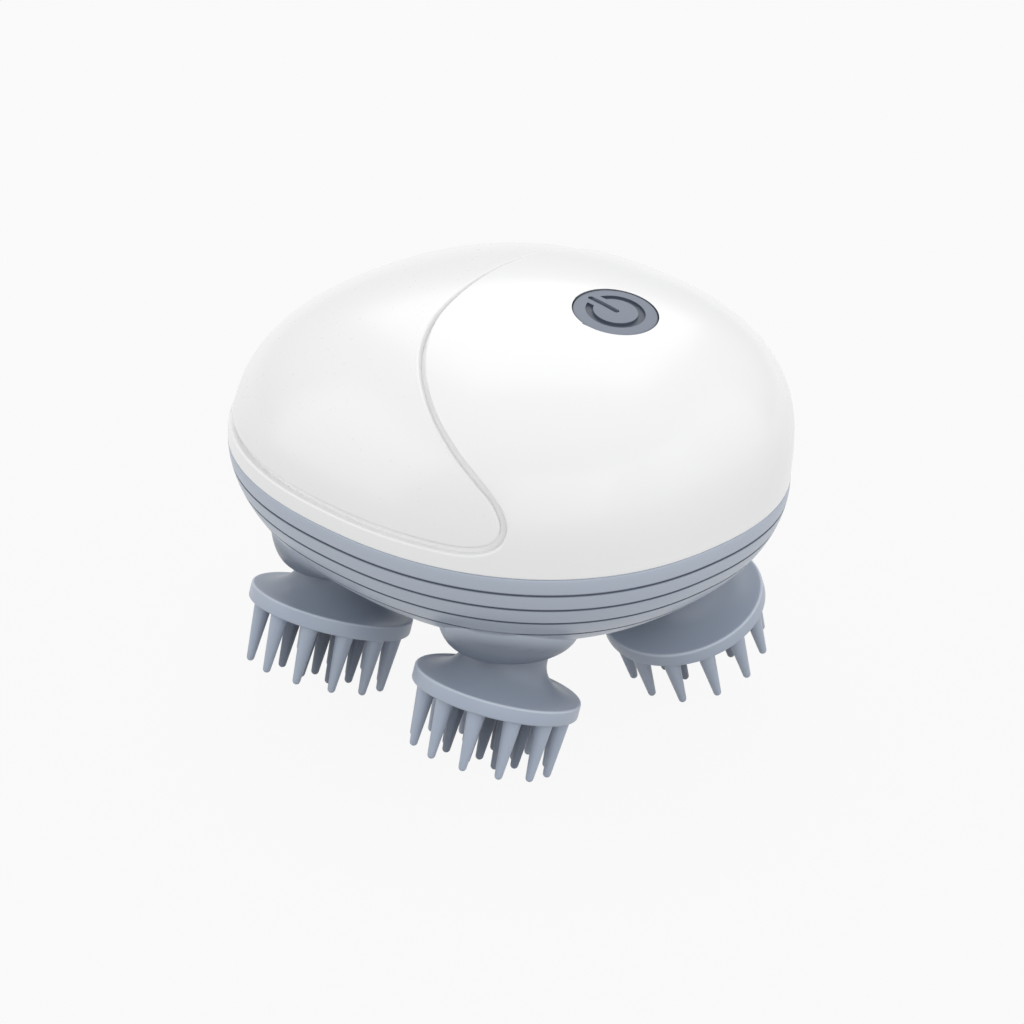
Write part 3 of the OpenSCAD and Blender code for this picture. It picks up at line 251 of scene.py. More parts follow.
def panelLoop():
    # the closed edge of the shell's recess on the skin: the S-curve, then the lip back round the end
    lip = panelEdge["lipHeight"]
    path = np.array([(x, y, z + lip) for x, y, z in panelEdge["path"]], float)
    curve = onDome(smoothCurve(path, 900))
    curve[0, 2] = curve[-1, 2] = lip
    steps = panelEdge["steps"]
    curve = evenly(curve, steps)
    tail, back = ringAngle(*curve[-1, :2]), ringAngle(*curve[0, :2])
    sweep = np.linspace(tail, back - math.tau, 2000)
    lipPath = evenly(domeRing(sweep, lip), steps)
    lipPath[0], lipPath[-1] = curve[-1], curve[0]
    loop = np.vstack([curve[:-1], lipPath[:-1]])
    reach = panelEdge["blendReach"]  # the curve and the lip run into each other
    near = np.zeros(len(loop), bool)
    for corner in (0, steps):
        near[[(corner + k) % len(loop) for k in range(-reach, reach + 1)]] = True
    for _ in range(panelEdge["blendSteps"]):
        average = (np.roll(loop, 1, 0) + 2 * loop + np.roll(loop, -1, 0)) / 4
        loop = np.where(near[:, None], average, loop)
    return onDome(loop)


def movedLoop(loop, distance, inset):
    along = np.roll(loop, -1, 0) - np.roll(loop, 1, 0)
    side = np.cross(along, loop)
    for _ in range(6):
        side = (np.roll(side, 1, 0) + 2 * side + np.roll(side, -1, 0)) / 4
    side /= np.linalg.norm(side, axis=1)[:, None]
    return onDome(loop + distance * side, inset)


def acrossLoop(loop, inset, count):
    # rows of points from the S-curve's side of a loop to its lip side
    half = len(loop) // 2
    first = loop[:half + 1]
    second = np.vstack([loop[half:], loop[:1]])[::-1]
    share = np.linspace(0, 1, count)
    rows = [onDome(first * (1 - t) + second * t, inset) for t in share]
    rows[0], rows[-1] = first, second
    return np.array(rows)


def rimAngleFor(loop):
    # angle on the rim for each point of the loop, so that the mesh lines never cross
    lip = panelEdge["lipHeight"]
    half = panelEdge["steps"]
    knots = onDome(np.array([(x, y, z + lip) for x, y, z in panelEdge["path"]], float))
    nearest = [int(np.argmin(np.linalg.norm(loop[:half + 1] - k, axis=1))) for k in knots]
    nearest[0], nearest[-1] = 0, half
    angles = np.interp(np.arange(half + 1), nearest, np.radians(panelEdge["rimAngles"]))
    kernel = np.hanning(31)
    kernel /= kernel.sum()
    angles = np.convolve(np.pad(angles, 15, mode="reflect", reflect_type="odd"), kernel, "valid")
    rest = np.unwrap(ringAngle(*loop[half:, :2].T))
    rest += math.tau * round((angles[-1] - rest[0]) / math.tau)
    mix = np.linspace(0, 1, 40)
    rest[:40] = rest[:40] * mix + (angles[-1] + (rest[:40] - rest[0])) * (1 - mix)
    closing = angles[0] - math.tau
    rest[-40:] = rest[-40:] * mix[::-1] + (closing + (rest[-40:] - rest[-1])) * (1 - mix[::-1])
    return np.concatenate([angles[:-1], rest])


def closedRows(rows):
    return [np.vstack([row, row[:1]]) for row in rows]


def buildUpperShell(loop):
    radius = panelEdge["shellEdgeRadius"]
    floorInset = panelEdge["inset"] + panelEdge["wall"] + panelEdge["seat"]
    rim = rimAngleFor(loop)
    rimRadius, rimGap = body["rimRadius"], body["rimGap"]
    rows = [movedLoop(loop, 0, floorInset), movedLoop(loop, 0, (floorInset + radius) / 2)]
    for turn in np.linspace(0, math.pi / 2, 7):
        rows.append(movedLoop(loop, radius * math.cos(turn) - radius, radius * (1 - math.sin(turn))))
    start = rows[-1]
    end = domeRing(rim, rimRadius)
    for share in (np.arange(1, 71) / 70) ** 1.15:
        rows.append(onDome(start * (1 - share) + end * share))
    rows[-1] = end
    for turn in np.linspace(0, math.pi / 2, 5)[1:]:
        row = domeRing(rim, 0.0, rimRadius * (1 - math.cos(turn)))
        row[:, 2] = rimRadius * (1 - math.sin(turn)) + rimGap
        rows.append(row)
    inner = body["domeHeight"] - body["wall"]
    for turn in np.linspace(0, math.pi / 2, 12):
        height = inner * math.sin(turn) ** (2 / body["risePower"]) if turn else rimGap
        rows.append(domeRing(rim, min(height, inner * 0.99999), body["wall"]))
    rows[-1][:] = rows[-1].mean(0)
    shell = sheetFromRows("whiteShell", closedRows(rows))
    floor = sheetFromRows("recessFloor", acrossLoop(rows[0], floorInset, 24))
    shell = settle(joined([shell, floor], "whiteShell"), "whiteShell", 35)
    print("white shell", len(shell.data.polygons), "faces")
    return shell


def buildSidePanel(loop):
    radius = panelEdge["panelEdgeRadius"]
    gap, top = panelEdge["gap"], panelEdge["inset"]
    bottom = top + panelEdge["wall"]
    rows = [movedLoop(loop, gap, bottom)]
    for turn in np.linspace(0, math.pi / 2, 7):
        rows.append(movedLoop(loop, gap + radius * (1 - math.cos(turn)),
                              top + radius * (1 - math.sin(turn))))
    for more in (0.25, 0.6):
        rows.append(movedLoop(loop, gap + radius + more, top))
    edge = sheetFromRows("panelEdge", closedRows(rows))
    face = sheetFromRows("panelFace", acrossLoop(rows[-1], top, 110))
    back = sheetFromRows("panelBack", acrossLoop(rows[0], bottom, 24))
    panel = settle(joined([edge, face, back], "sidePanel"), "sidePanel", 35)
    print("side panel", len(panel.data.polygons), "faces")
    return panel


# The power button is set square to the skin where it sits
button = {"x": 23.0, "y": 5.4, "diameter": 15.8, "gap": 0.16, "holeDepth": 6.0, "crownDrop": 0.1,
          "crownRadius": 70.0, "edgeRadius": 0.3, "flange": 8.9, "flangeTop": -2.8, "flangeDepth": 0.6,
          "stem": 2.0, "stemEnd": -5.88, "signOuter": 5.55, "signInner": 4.15, "signOpening": 3.5,
          "barFrom": -0.7, "barTo": 6.5, "barWidth": 1.16, "signTurn": 185, "signDepth": 0.45}


def buttonFrame():
    def height(x, y):
        return float(whereOutside(0.0, body["domeHeight"],
                                  lambda z: domeValue(np.array([x, y, z]), 0.0) > 0, 50))

    x, y = button["x"], button["y"]
    slope = Vector((height(x - 0.5, y) - height(x + 0.5, y),
                    height(x, y - 0.5) - height(x, y + 0.5), 1))
    lean = Vector((0, 0, 1)).rotation_difference(slope.normalized()).to_matrix().to_4x4()
    place = Vector((x, y, height(x, y) + body["partingZ"])) * mm
    return Matrix.Translation(place) @ lean


def cutButtonHole(shell, place):
    wide, depth = button["diameter"] / 2 + button["gap"], button["holeDepth"]
    hole = drill("buttonHole", wide, -depth, 4, 160)
    hole.matrix_world = place
    cut(shell, hole)
    settle(shell, "whiteShell", 35)
    toButton = np.array(place.inverted())

    def inHole(centres):
        local = centres @ toButton[:3, :3].T + toButton[:3, 3] / mm
        return (np.hypot(local[:, 0], local[:, 1]) < wide + 0.02) & (local[:, 2] > -depth)

    # painted shade on the walls of the button hole, so the gap round the button reads dark
    mark(shell, "crease", inHole, "FACE")


def buildButton(place):
    radius, edge = button["diameter"] / 2, button["edgeRadius"]

    def sag(r):
        # height of the crowned top, r from its middle
        return -button["crownDrop"] - r * r / (2 * button["crownRadius"])

    profile = [(0, sag(0))] + [(r, sag(r)) for r in np.linspace(0.8, radius - edge, 14)]
    drop = sag(radius - edge)
    profile += [(radius - edge + edge * math.sin(a), drop - edge * (1 - math.cos(a)))
                for a in np.radians([25, 50, 70, 90])]
    top, low = button["flangeTop"], button["flangeTop"] - button["flangeDepth"]
    profile += [(radius, top), (button["flange"], top), (button["flange"], low), (button["stem"], low),
                (button["stem"], button["stemEnd"]), (0, button["stemEnd"])]
    cap = turned("powerButton", profile, 128, 30)
    bottom = sag(button["signOuter"]) - button["signDepth"]
    inner, outer = button["signInner"], button["signOuter"]
    ring = turned("signRing", [(inner, bottom), (outer, bottom), (outer, 1), (inner, 1), (inner, bottom)],
                  96)
    deselectAll()
    bpy.ops.mesh.primitive_cube_add(size=1, location=(6 * mm, 0, 0))
    opening = bpy.context.object
    opening.scale = (8 * mm, button["signOpening"] * mm, 8 * mm)
    settle(opening, "signOpening")
    cut(ring, opening)
    barRadius = button["barWidth"] / 2
    bar = roundedBar("signBar", button["barFrom"] + barRadius, button["barTo"] - barRadius, barRadius,
                     bottom, 1)
    turn = Matrix.Rotation(math.radians(button["signTurn"]), 4, "Z")
    for tool in (ring, bar):
        tool.matrix_world = turn
        cut(cap, tool)

    def inSign(centres):
        across = np.hypot(centres[:, 0], centres[:, 1])
        sunken = (centres[:, 2] < sag(across) - 0.05) & (centres[:, 2] > bottom - 0.05)
        return (across < radius - edge) & sunken

    # painted shade in the sunken power sign
    mark(cap, "crease", inSign, "FACE")
    cap.matrix_world = place
    cap = settle(cap, "powerButton", 30)
    print("power button", len(cap.data.polygons), "faces")
    return cap


def roundedBar(name, start, stop, radius, low, high):
    # a bar along X with round ends: half a circle extruded, bridged and raised
    deselectAll()
    bpy.ops.mesh.primitive_circle_add(vertices=48, radius=radius * mm, fill_type="NGON")
    bar = bpy.context.object
    for vertex in bar.data.vertices:
        vertex.co.x += (stop if vertex.co.x > 1e-9 else start) * mm
        vertex.co.z = low * mm
    bpy.ops.object.mode_set(mode="EDIT")
    bpy.ops.mesh.select_all(action="SELECT")
    bpy.ops.mesh.extrude_region_move(TRANSFORM_OT_translate={"value": (0, 0, (high - low) * mm)})
    bpy.ops.object.mode_set(mode="OBJECT")
    return settle(bar, name)


# Depths under the parting plane; bosses and heads are alike in four places
bowl = {"grooves": [3.4, 6.95, 10.75, 15.0], "grooveWidth": 0.42, "grooveDepth": 0.4, "columns": 320,
        "bossX": 22.8, "bossY": 20.914, "bossRim": (11.4, -22.7), "bossRoot": (14.0, -14.5),
        "neckRecess": 8.8, "recessTop": 10.4, "sealRadius": 5.4, "sealTop": 12.9, "bushRadius": 4.0,
        "bushTop": 17.9, "tubeRadius": 6.8, "headY": 24.05, "headDrop": 31.45, "tilt": 19.7,
        "screws": [(41, 0), (-41, 0), (9.4, 33.8), (0, -30)], "screwSeat": -14.0, "screwHead": 2.5,
        "bossShade": 0.85}


def headFrame(side, end):
    # the tilted axis of one head, with its origin at the rim
    place = Matrix.Translation(Vector((end * bowl["bossX"], side * bowl["headY"],
                                       body["partingZ"] - bowl["headDrop"])) * mm)
    return place @ Matrix.Rotation(math.radians(side * bowl["tilt"]), 4, "X")


def drill(name, radius, low, high, steps=96):
    return turned(name, [(0, low), (radius, low), (radius, high), (0, high)], steps)


def buildLowerShell():
    angles = np.linspace(0, math.tau, bowl["columns"] + 1)
    angles[-1] = 0
    edge, rimGap = body["rimRadius"], body["rimGap"]
    rows = [bowlRing(angles, rimGap, 0)]
    rows[0][:] = rows[0].mean(0)
    for inset in (body["wall"] + 6, body["wall"]):
        row = bowlRing(angles, 0, inset)
        row[:, 2] = -rimGap
        rows.append(row)
    for turn in np.linspace(0, math.pi / 2, 5):
        row = bowlRing(angles, 0, 0, edge * (1 - math.sin(turn)))
        row[:, 2] = -edge * (1 - math.cos(turn)) - rimGap
        rows.append(row)
    half = bowl["grooveWidth"] / 2
    levels = []
    for groove in bowl["grooves"]:
        for shift, share in ((-0.42, 0), (-0.3, 0), (-half, 0.1), (-half + 0.05, 0.3), (-0.1, 0.85),
                             (0, 1), (0.1, 0.85), (half - 0.05, 0.3), (half, 0.1), (0.3, 0), (0.42, 0)):
            levels.append((groove + shift, share * bowl["grooveDepth"]))
    for depth in np.concatenate([np.arange(1.2, 16, 0.9),
                                 body["bowlDepth"] * np.sin(np.linspace(0.68, math.pi / 2, 26)[:-1])]):
        if min(abs(depth - groove) for groove in bowl["grooves"]) > 0.8:
            levels.append((depth, 0))
    for depth, cutIn in sorted(levels):
        rows.append(bowlRing(angles, depth, 0, cutIn))
    rows.append(np.tile([[0, 0, -body["bowlDepth"]]], (len(angles), 1)))
    shell = sheetFromRows("greyBowl", rows)

    rim, root = bowl["bossRim"], bowl["bossRoot"]
    profile = [(0, root[1] + 3), (root[0], root[1] + 3), (root[0], root[1])]
    for turn in np.linspace(0, math.pi / 2, 12)[1:]:
        profile.append((rim[0] + (root[0] - rim[0]) * math.cos(turn),
                        root[1] + (rim[1] - root[1]) * math.sin(turn)))
    profile.append((0, rim[1]))
    boss = turned("boss", profile, 120)
    bosses = [copyTurned(boss, "boss", Matrix.Translation(Vector((x * bowl["bossX"], y * bowl["bossY"],
                                                                   body["partingZ"])) * mm))
              for x in (-1, 1) for y in (-1, 1)]
    bpy.data.objects.remove(boss)
    for piece in bosses:
        cut(shell, piece, "UNION")

    rows = [bowlRing(angles, 0, body["wall"])]
    rows[0][:, 2] = 2
    for depth in (body["bowlDepth"] - body["wall"]) * np.sin(np.linspace(0, math.pi / 2, 20)[:-1]):
        rows.append(bowlRing(angles, depth, body["wall"]))
    rows.append(np.tile([[0, 0, body["wall"] - body["bowlDepth"]]], (len(angles), 1)))
    top = rows[0].copy()
    top[:] = top.mean(0)
    hollow = sheetFromRows("hollow", [top] + rows)
    cut(shell, hollow)

    for side in (-1, 1):
        for end in (-1, 1):
            place = headFrame(side, end)
            for name, radius, low, high, how in (
                    ("tube", bowl["tubeRadius"], bowl["recessTop"] - 1.5, bowl["bushTop"], "UNION"),
                    ("neckRecess", bowl["neckRecess"], -6, bowl["recessTop"], "DIFFERENCE"),
                    ("sealSeat", bowl["sealRadius"], 2, bowl["sealTop"], "DIFFERENCE"),
                    ("bushSeat", bowl["bushRadius"], 2, bowl["bushTop"] + 1, "DIFFERENCE")):
                tool = drill(name, radius, low, high)
                tool.matrix_world = place
                cut(shell, tool, how)
    for x, y in bowl["screws"]:
        tool = drill("screwWell", bowl["screwHead"], -29, bowl["screwSeat"], 48)
        tool.matrix_world = Matrix.Translation(Vector((x, y, body["partingZ"])) * mm)
        cut(shell, tool)
    print("lower shell", len(shell.data.polygons), "faces")
    return shell


def bowlPaintedShade(points):
    # painted shade: full in the grooves and the neck recesses, growing down the bosses under the bowl
    local = points - np.array([0, 0, body["partingZ"]])
    skin = bowlSkin(local)
    fromGroove = np.min([np.abs(local[:, 2] + groove) for groove in bowl["grooves"]], axis=0)
    inGroove = np.clip((bowl["grooveWidth"] - fromGroove) / bowl["grooveWidth"] * 1.6, 0, 1)
    inGroove *= np.abs(skin) < 0.04
    shade = np.maximum(bowl["bossShade"] * np.clip(skin / 0.12, 0, 1), inGroove)
    for side in (-1, 1):
        for end in (-1, 1):
            toHead = np.array(headFrame(side, end).inverted())
            inHead = points @ toHead[:3, :3].T + toHead[:3, 3] / mm
            across = np.hypot(inHead[:, 0], inHead[:, 1])
            shade = np.where((across < bowl["neckRecess"] + 0.05) & (inHead[:, 2] > 0), 1.0, shade)
    return shade


# One head about its own axis, with heights from the top of the rim
head = {"rim": 15.8, "rimHeight": 3.0, "neck": 7.8, "flare": 6.0, "neckTop": 9.0, "shoulder": 0.5,
        "foot": 0.35, "hubDisc": 11.55, "hubStem": 5.25, "hubLow": -1.95, "hubHigh": -0.55,
        "outerRing": (12, 13.1), "innerRing": (8, 7.0), "reach": 14.7, "middleReach": 15.3,
        "tineRoot": 1.75, "tineTip": 0.75, "rootFillet": 0.45,
        "neckShade": 0.6, "underShade": 0.7}


def tineProfile(reach):
    tip, root, fillet = head["tineTip"], head["tineRoot"], head["rootFillet"]
    low, high = -reach + tip, -head["rimHeight"]
    profile = [(tip * math.sin(a), low - tip * math.cos(a)) for a in np.radians([0, 18, 36, 54, 72, 86])]
    for share in (0.1, 0.35, 0.6, 0.85):
        profile.append((tip + (root - tip) * share, low + (high - low) * share))
    start = root - (root - tip) * fillet / (high - low)
    profile += [(start + fillet * (1 - math.cos(a)), high - fillet * (1 - math.sin(a)))
                for a in np.radians([0, 22, 45, 68, 86])]
    return profile + [(start + fillet, high + 0.3), (0, high + 0.3)]


def headPaintedShade(points):
    # painted shade: darker up the neck, on the underside and on the inner tines
    out, high = np.hypot(points[:, 0], points[:, 1]), points[:, 2]
    neck = np.clip((head["rim"] - 1 - out) / (head["rim"] - 1 - head["neck"]), 0, 1)
    neck = neck * (high > -0.02) * head["neckShade"]
    under = (np.abs(high + head["rimHeight"]) < 0.02) & (out < head["rim"] - 0.5)
    inner = (high < -head["rimHeight"]) & (out < 10)
    return np.maximum(neck, np.where(under | inner, head["underShade"], 0))


def headPaintedHighlight(points):
    # a painted highlight along the rounded edge of the rim
    out, high = np.hypot(points[:, 0], points[:, 1]), points[:, 2]
    shoulder = head["shoulder"]
    far = np.hypot(out - (head["rim"] - 0.3 * shoulder), high + 0.3 * shoulder)
    return np.clip(1 - far / (0.8 * shoulder), 0, 1)


def buildHead():
    rim, shoulder, foot = head["rim"], head["shoulder"], head["foot"]
    profile = [(0, head["hubLow"]), (head["hubDisc"], head["hubLow"]), (head["hubDisc"], head["hubHigh"]),
               (head["hubStem"], head["hubHigh"]), (head["hubStem"], head["neckTop"]),
               (head["neck"] - 0.5, head["neckTop"])]
    profile += [(head["neck"] - 0.5 + 0.5 * math.sin(a), head["neckTop"] - 0.5 + 0.5 * math.cos(a))
                for a in np.radians([30, 60, 90])]
    reach = rim - shoulder - head["neck"]
    profile += [(head["neck"] + reach * (1 - math.sin(a)), head["flare"] * (1 - math.cos(a)))
                for a in np.radians(np.linspace(90, 0, 22))]
    profile += [(rim - shoulder + shoulder * math.sin(a), shoulder * (math.cos(a) - 1))
                for a in np.radians([18, 36, 54, 72, 90])]
    profile += [(rim - foot + foot * math.cos(a), foot - head["rimHeight"] - foot * math.sin(a))
                for a in np.radians([0, 30, 60, 90])]
    profile += [(10, -head["rimHeight"]), (4, -head["rimHeight"]), (0, -head["rimHeight"])]
    piece = turned("head", profile, 128, 35)
    tines = []
    for count, ring, phase in ((*head["outerRing"], 0), (*head["innerRing"], 0.5)):
        tine = turned("tine", tineProfile(head["reach"]), 28)
        for k in range(count):
            angle = math.tau * (k + phase) / count
            place = Vector((ring * math.cos(angle), ring * math.sin(angle), 0)) * mm
            tines.append(copyTurned(tine, "tine", Matrix.Translation(place)))
        bpy.data.objects.remove(tine)
    tines.append(turned("tine", tineProfile(head["middleReach"]), 28))
    cut(piece, joined(tines, "tines"), "UNION")
    settle(piece, "head", 35)
    # painted shade up the neck, under the disc and on the inner tines
    mark(piece, "crease", headPaintedShade, "POINT")
    # painted highlight along the rim's rounded edge
    mark(piece, "rubbed", headPaintedHighlight, "POINT")
    print("head", len(piece.data.polygons), "faces")
    return piece


# The housing screws; the head's edge is given from its flat underside
screw = {"headHeight": 1.6, "headEdge": [(1.7, 0), (2.0, 0.12), (2.2, 0.4)], "shank": 1.08,
         "shankTop": 5.4, "tip": (0.6, 6.0), "drive": (2.6, 0.62, 1.9)}


def buildScrews():
    seat = bowl["screwSeat"]
    low = seat - screw["headHeight"]
    profile = [(0, low)] + [(radius, low + up) for radius, up in screw["headEdge"]]
    profile += [(profile[-1][0], seat), (screw["shank"], seat), (screw["shank"], screw["shankTop"]),
                screw["tip"], (0, screw["tip"][1])]
    oneScrew = turned("screw", profile, 48)
    for turn in (0, math.pi / 2):
        deselectAll()
        bpy.ops.mesh.primitive_cube_add(size=1, location=(0, 0, low * mm), rotation=(0, 0, turn),
                                        scale=tuple(side * mm for side in screw["drive"]))
        cut(oneScrew, bpy.context.object)
    screws = [copyTurned(oneScrew, "screw", Matrix.Translation(Vector((x, y, body["partingZ"])) * mm))
              for x, y in bowl["screws"]]
    bpy.data.objects.remove(oneScrew)
    print("screws ready")
    return settle(joined(screws, "housingScrews"), "housingScrews", 30)


# The charging port on the back, with sizes up, along and out of its tilted frame
port = {"drop": 6.3, "slope": 19.4, "flapHeight": 8.2, "flapHalfWidth": 8.7, "flapThickness": 1.2,
        "recess": 1.25, "sideGap": 0.15, "endGap": 0.3, "proud": 0.15, "hinge": 9.4,
        "hingeGaps": (0.1, 0.2), "rootEnd": 12.8, "slotHeight": 4.0, "slotWidth": 9.78, "slotDepth": 9.0,
        "plugHalfHeight": 1.53,
        "plugHalfWidth": 4.42, "plugFrom": -2.8, "plugEdge": 0.2, "pegRadius": 1.1, "pegFrom": -4.0,
        "pegInset": 1.6, "weldTo": -1.1}


def portFrame():
    edge = (1 - (port["drop"] / body["bowlDepth"]) ** body["fallPower"]) ** (1 / body["bowlWidthPower"])
    middle = Vector((0, body["halfWidth"] * edge, body["partingZ"] - port["drop"])) * mm
    slope = math.radians(port["slope"])
    out = Vector((0, math.cos(slope), -math.sin(slope)))
    along = Vector((1, 0, 0))
    up = along.cross(out)
    return Matrix.Translation(middle) @ Matrix((up, along, out)).transposed().to_4x4()


def bowlSkin(points, grow=0.0):
    # below 0 inside the bowl, for points in millimetres from the parting plane
    depth = np.clip(-points[..., 2], 0, body["bowlDepth"] + grow)
    width = (1 - (depth / (body["bowlDepth"] + grow)) ** body["fallPower"]) ** (1 / body["bowlWidthPower"])
    return ((np.abs(points[..., 0]) / (body["halfLength"] + grow)) ** body["planPower"]
            + (np.abs(points[..., 1]) / (body["halfWidth"] + grow)) ** body["planPower"]
            - width ** body["planPower"])


def inPlace(place, points):
    # millimetre points of a tilted frame, as points from the middle of the parting plane
    turn = np.array(place.to_3x3())
    shift = np.array(place.translation) / mm - np.array([0, 0, body["partingZ"]])
    return points @ turn.T + shift


def skinHeight(place, x, y, grow):
    low, high = np.full_like(x, -6.0), np.full_like(x, 3.0)
    return whereOutside(low, high,
                        lambda z: bowlSkin(inPlace(place, np.stack([x, y, z], -1)), grow) > 0, 40)


def squareLoop(halfX, halfY, middleY, count=96, power=8):
    angles = np.linspace(0, math.tau, count + 1)
    angles[-1] = 0
    return (halfX * signedPower(np.cos(angles), 2 / power),
            middleY + halfY * signedPower(np.sin(angles), 2 / power))


def skinPad(name, place, halfX, halfY, middleY, low, proud, edge=0.25):
    # a pad whose face follows the bowl, with a rounded edge, straight sides and a flat back
    rows = []
    shares = [0.001, 0.2, 0.4, 0.6, 0.75, 0.86, 0.94]
    for share in shares:
        x, y = squareLoop(halfX * share, halfY * share, middleY)
        rows.append(np.stack([x, y, skinHeight(place, x, y, proud)], -1))
    for turn in np.linspace(0, math.pi / 2, 5):
        back = edge * (1 - math.sin(turn))
        x, y = squareLoop(halfX - back, halfY - back, middleY)
        rows.append(np.stack([x, y, skinHeight(place, x, y, proud) - edge * (1 - math.cos(turn))], -1))
    for share in (1, 0.5, 0.001):
        x, y = squareLoop(halfX * share, halfY * share, middleY)
        rows.append(np.stack([x, y, np.full_like(x, low)], -1))
    for k in (0, -1):
        rows[k][:] = rows[k].mean(0)
    return sheetFromRows(name, inPlace(place, np.array(rows)), 35)


def straightPad(name, place, halfX, halfY, middleY, low, high, power=8, edge=0.0):
    rows = [(0.001, low, 0), (1, low, edge), (1, low + edge, 0), (1, high - edge, 0), (1, high, edge),
            (0.001, high, 0)]
    loops = []
    for share, z, back in rows:
        x, y = squareLoop((halfX - back) * share, (halfY - back) * share, middleY, power=power)
        loops.append(np.stack([x, y, np.full_like(x, z)], -1))
    for k in (0, -1):
        loops[k][:] = loops[k].mean(0)
    return sheetFromRows(name, inPlace(place, np.array(loops)), 35)


def cutPort(shell, place):
    # the shallow recess under the flap and its root, and the slot for the plug
    low, high = -port["flapHalfWidth"] - port["endGap"], port["rootEnd"] + port["endGap"]
    cut(shell, straightPad("flapRecess", place, port["flapHeight"] / 2 + port["sideGap"],
                           (high - low) / 2, (high + low) / 2, -port["recess"], 5))
    cut(shell, straightPad("plugSlot", place, port["slotHeight"] / 2, port["slotWidth"] / 2, 0,
                           -port["slotDepth"], 1, 5))
    settle(shell, "greyBowl", 35)
    # painted shade in the grooves and neck recesses and down the bosses
    mark(shell, "crease", bowlPaintedShade, "POINT")
    print("port cut")


def flapPad(name, place, low, high):
    return skinPad(name, place, port["flapHeight"] / 2 - port["sideGap"], (high - low) / 2,
                   (high + low) / 2, -port["flapThickness"], port["proud"])


def buildFlap(place):
    flap = flapPad("portFlap", place, -port["flapHalfWidth"], port["hinge"] - port["hingeGaps"][0])
    plug = straightPad("plug", place, port["plugHalfHeight"], port["plugHalfWidth"], 0, port["plugFrom"],
                       port["weldTo"], 4, port["plugEdge"])
    cut(flap, plug, "UNION")
    print("flap ready")
    return settle(flap, "portFlap", 35)


def buildFlapRoot(place):
    root = flapPad("flapRoot", place, port["hinge"] + port["hingeGaps"][1], port["rootEnd"])
    peg = drill("rootPeg", port["pegRadius"], port["pegFrom"], port["weldTo"], 32)
    peg.matrix_world = place @ Matrix.Translation((0, (port["rootEnd"] - port["pegInset"]) * mm, 0))
    cut(root, peg, "UNION")
    print("flap root ready")
    return settle(root, "flapRoot", 35)


# Camera, light and floor, in metres and degrees
view = {"target": (0.019302, -0.017258, 0.049749), "azimuth": 46.17, "elevation": 26.78,
        "distance": 0.9204, "lens": 176.9}


def addCamera():
    azimuth, elevation = math.radians(view["azimuth"]), math.radians(view["elevation"])
    back = Vector((math.sin(azimuth) * math.cos(elevation), -math.cos(azimuth) * math.cos(elevation),
                   math.sin(elevation)))
    deselectAll()
    bpy.ops.object.camera_add(location=Vector(view["target"]) + back * view["distance"])
    camera = bpy.context.object
    camera.rotation_euler = back.to_track_quat("Z", "Y").to_euler()
    camera.data.lens = view["lens"]
    camera.data.sensor_width = 36
    camera.data.clip_start = 0.01
    bpy.context.scene.camera = camera


studio = {"world": 0.645, "floorColour": (0.42, 0.42, 0.42, 1), "floorWhite": 0.92, "skyWhite": 0.945,
          "lampSize": 0.9,
          # azimuth, elevation and power of each lamp, a metre from the object
          "lamps": {"frontLamp": (46, 20, 2.1), "frontRightLamp": (91, 20, 1.45),
                    "rightLamp": (136, 20, 1.3),
                    "backLamp": (226, 50, 2.9), "leftLamp": (316, 20, 2.4)}}


def addLamp(name, azimuth, elevation, power):
    azimuth, elevation = math.radians(azimuth), math.radians(elevation)
    aim = Vector((math.sin(azimuth) * math.cos(elevation), -math.cos(azimuth) * math.cos(elevation),
                  math.sin(elevation)))
    deselectAll()
    bpy.ops.object.light_add(type="AREA", location=Vector((0, 0, 0.05)) + aim)
    lamp = bpy.context.object
    lamp.name = name
    lamp.data.shape = "SQUARE"
    lamp.data.size = studio["lampSize"]
    lamp.data.energy = power
    lamp.rotation_euler = aim.to_track_quat("Z", "Y").to_euler()


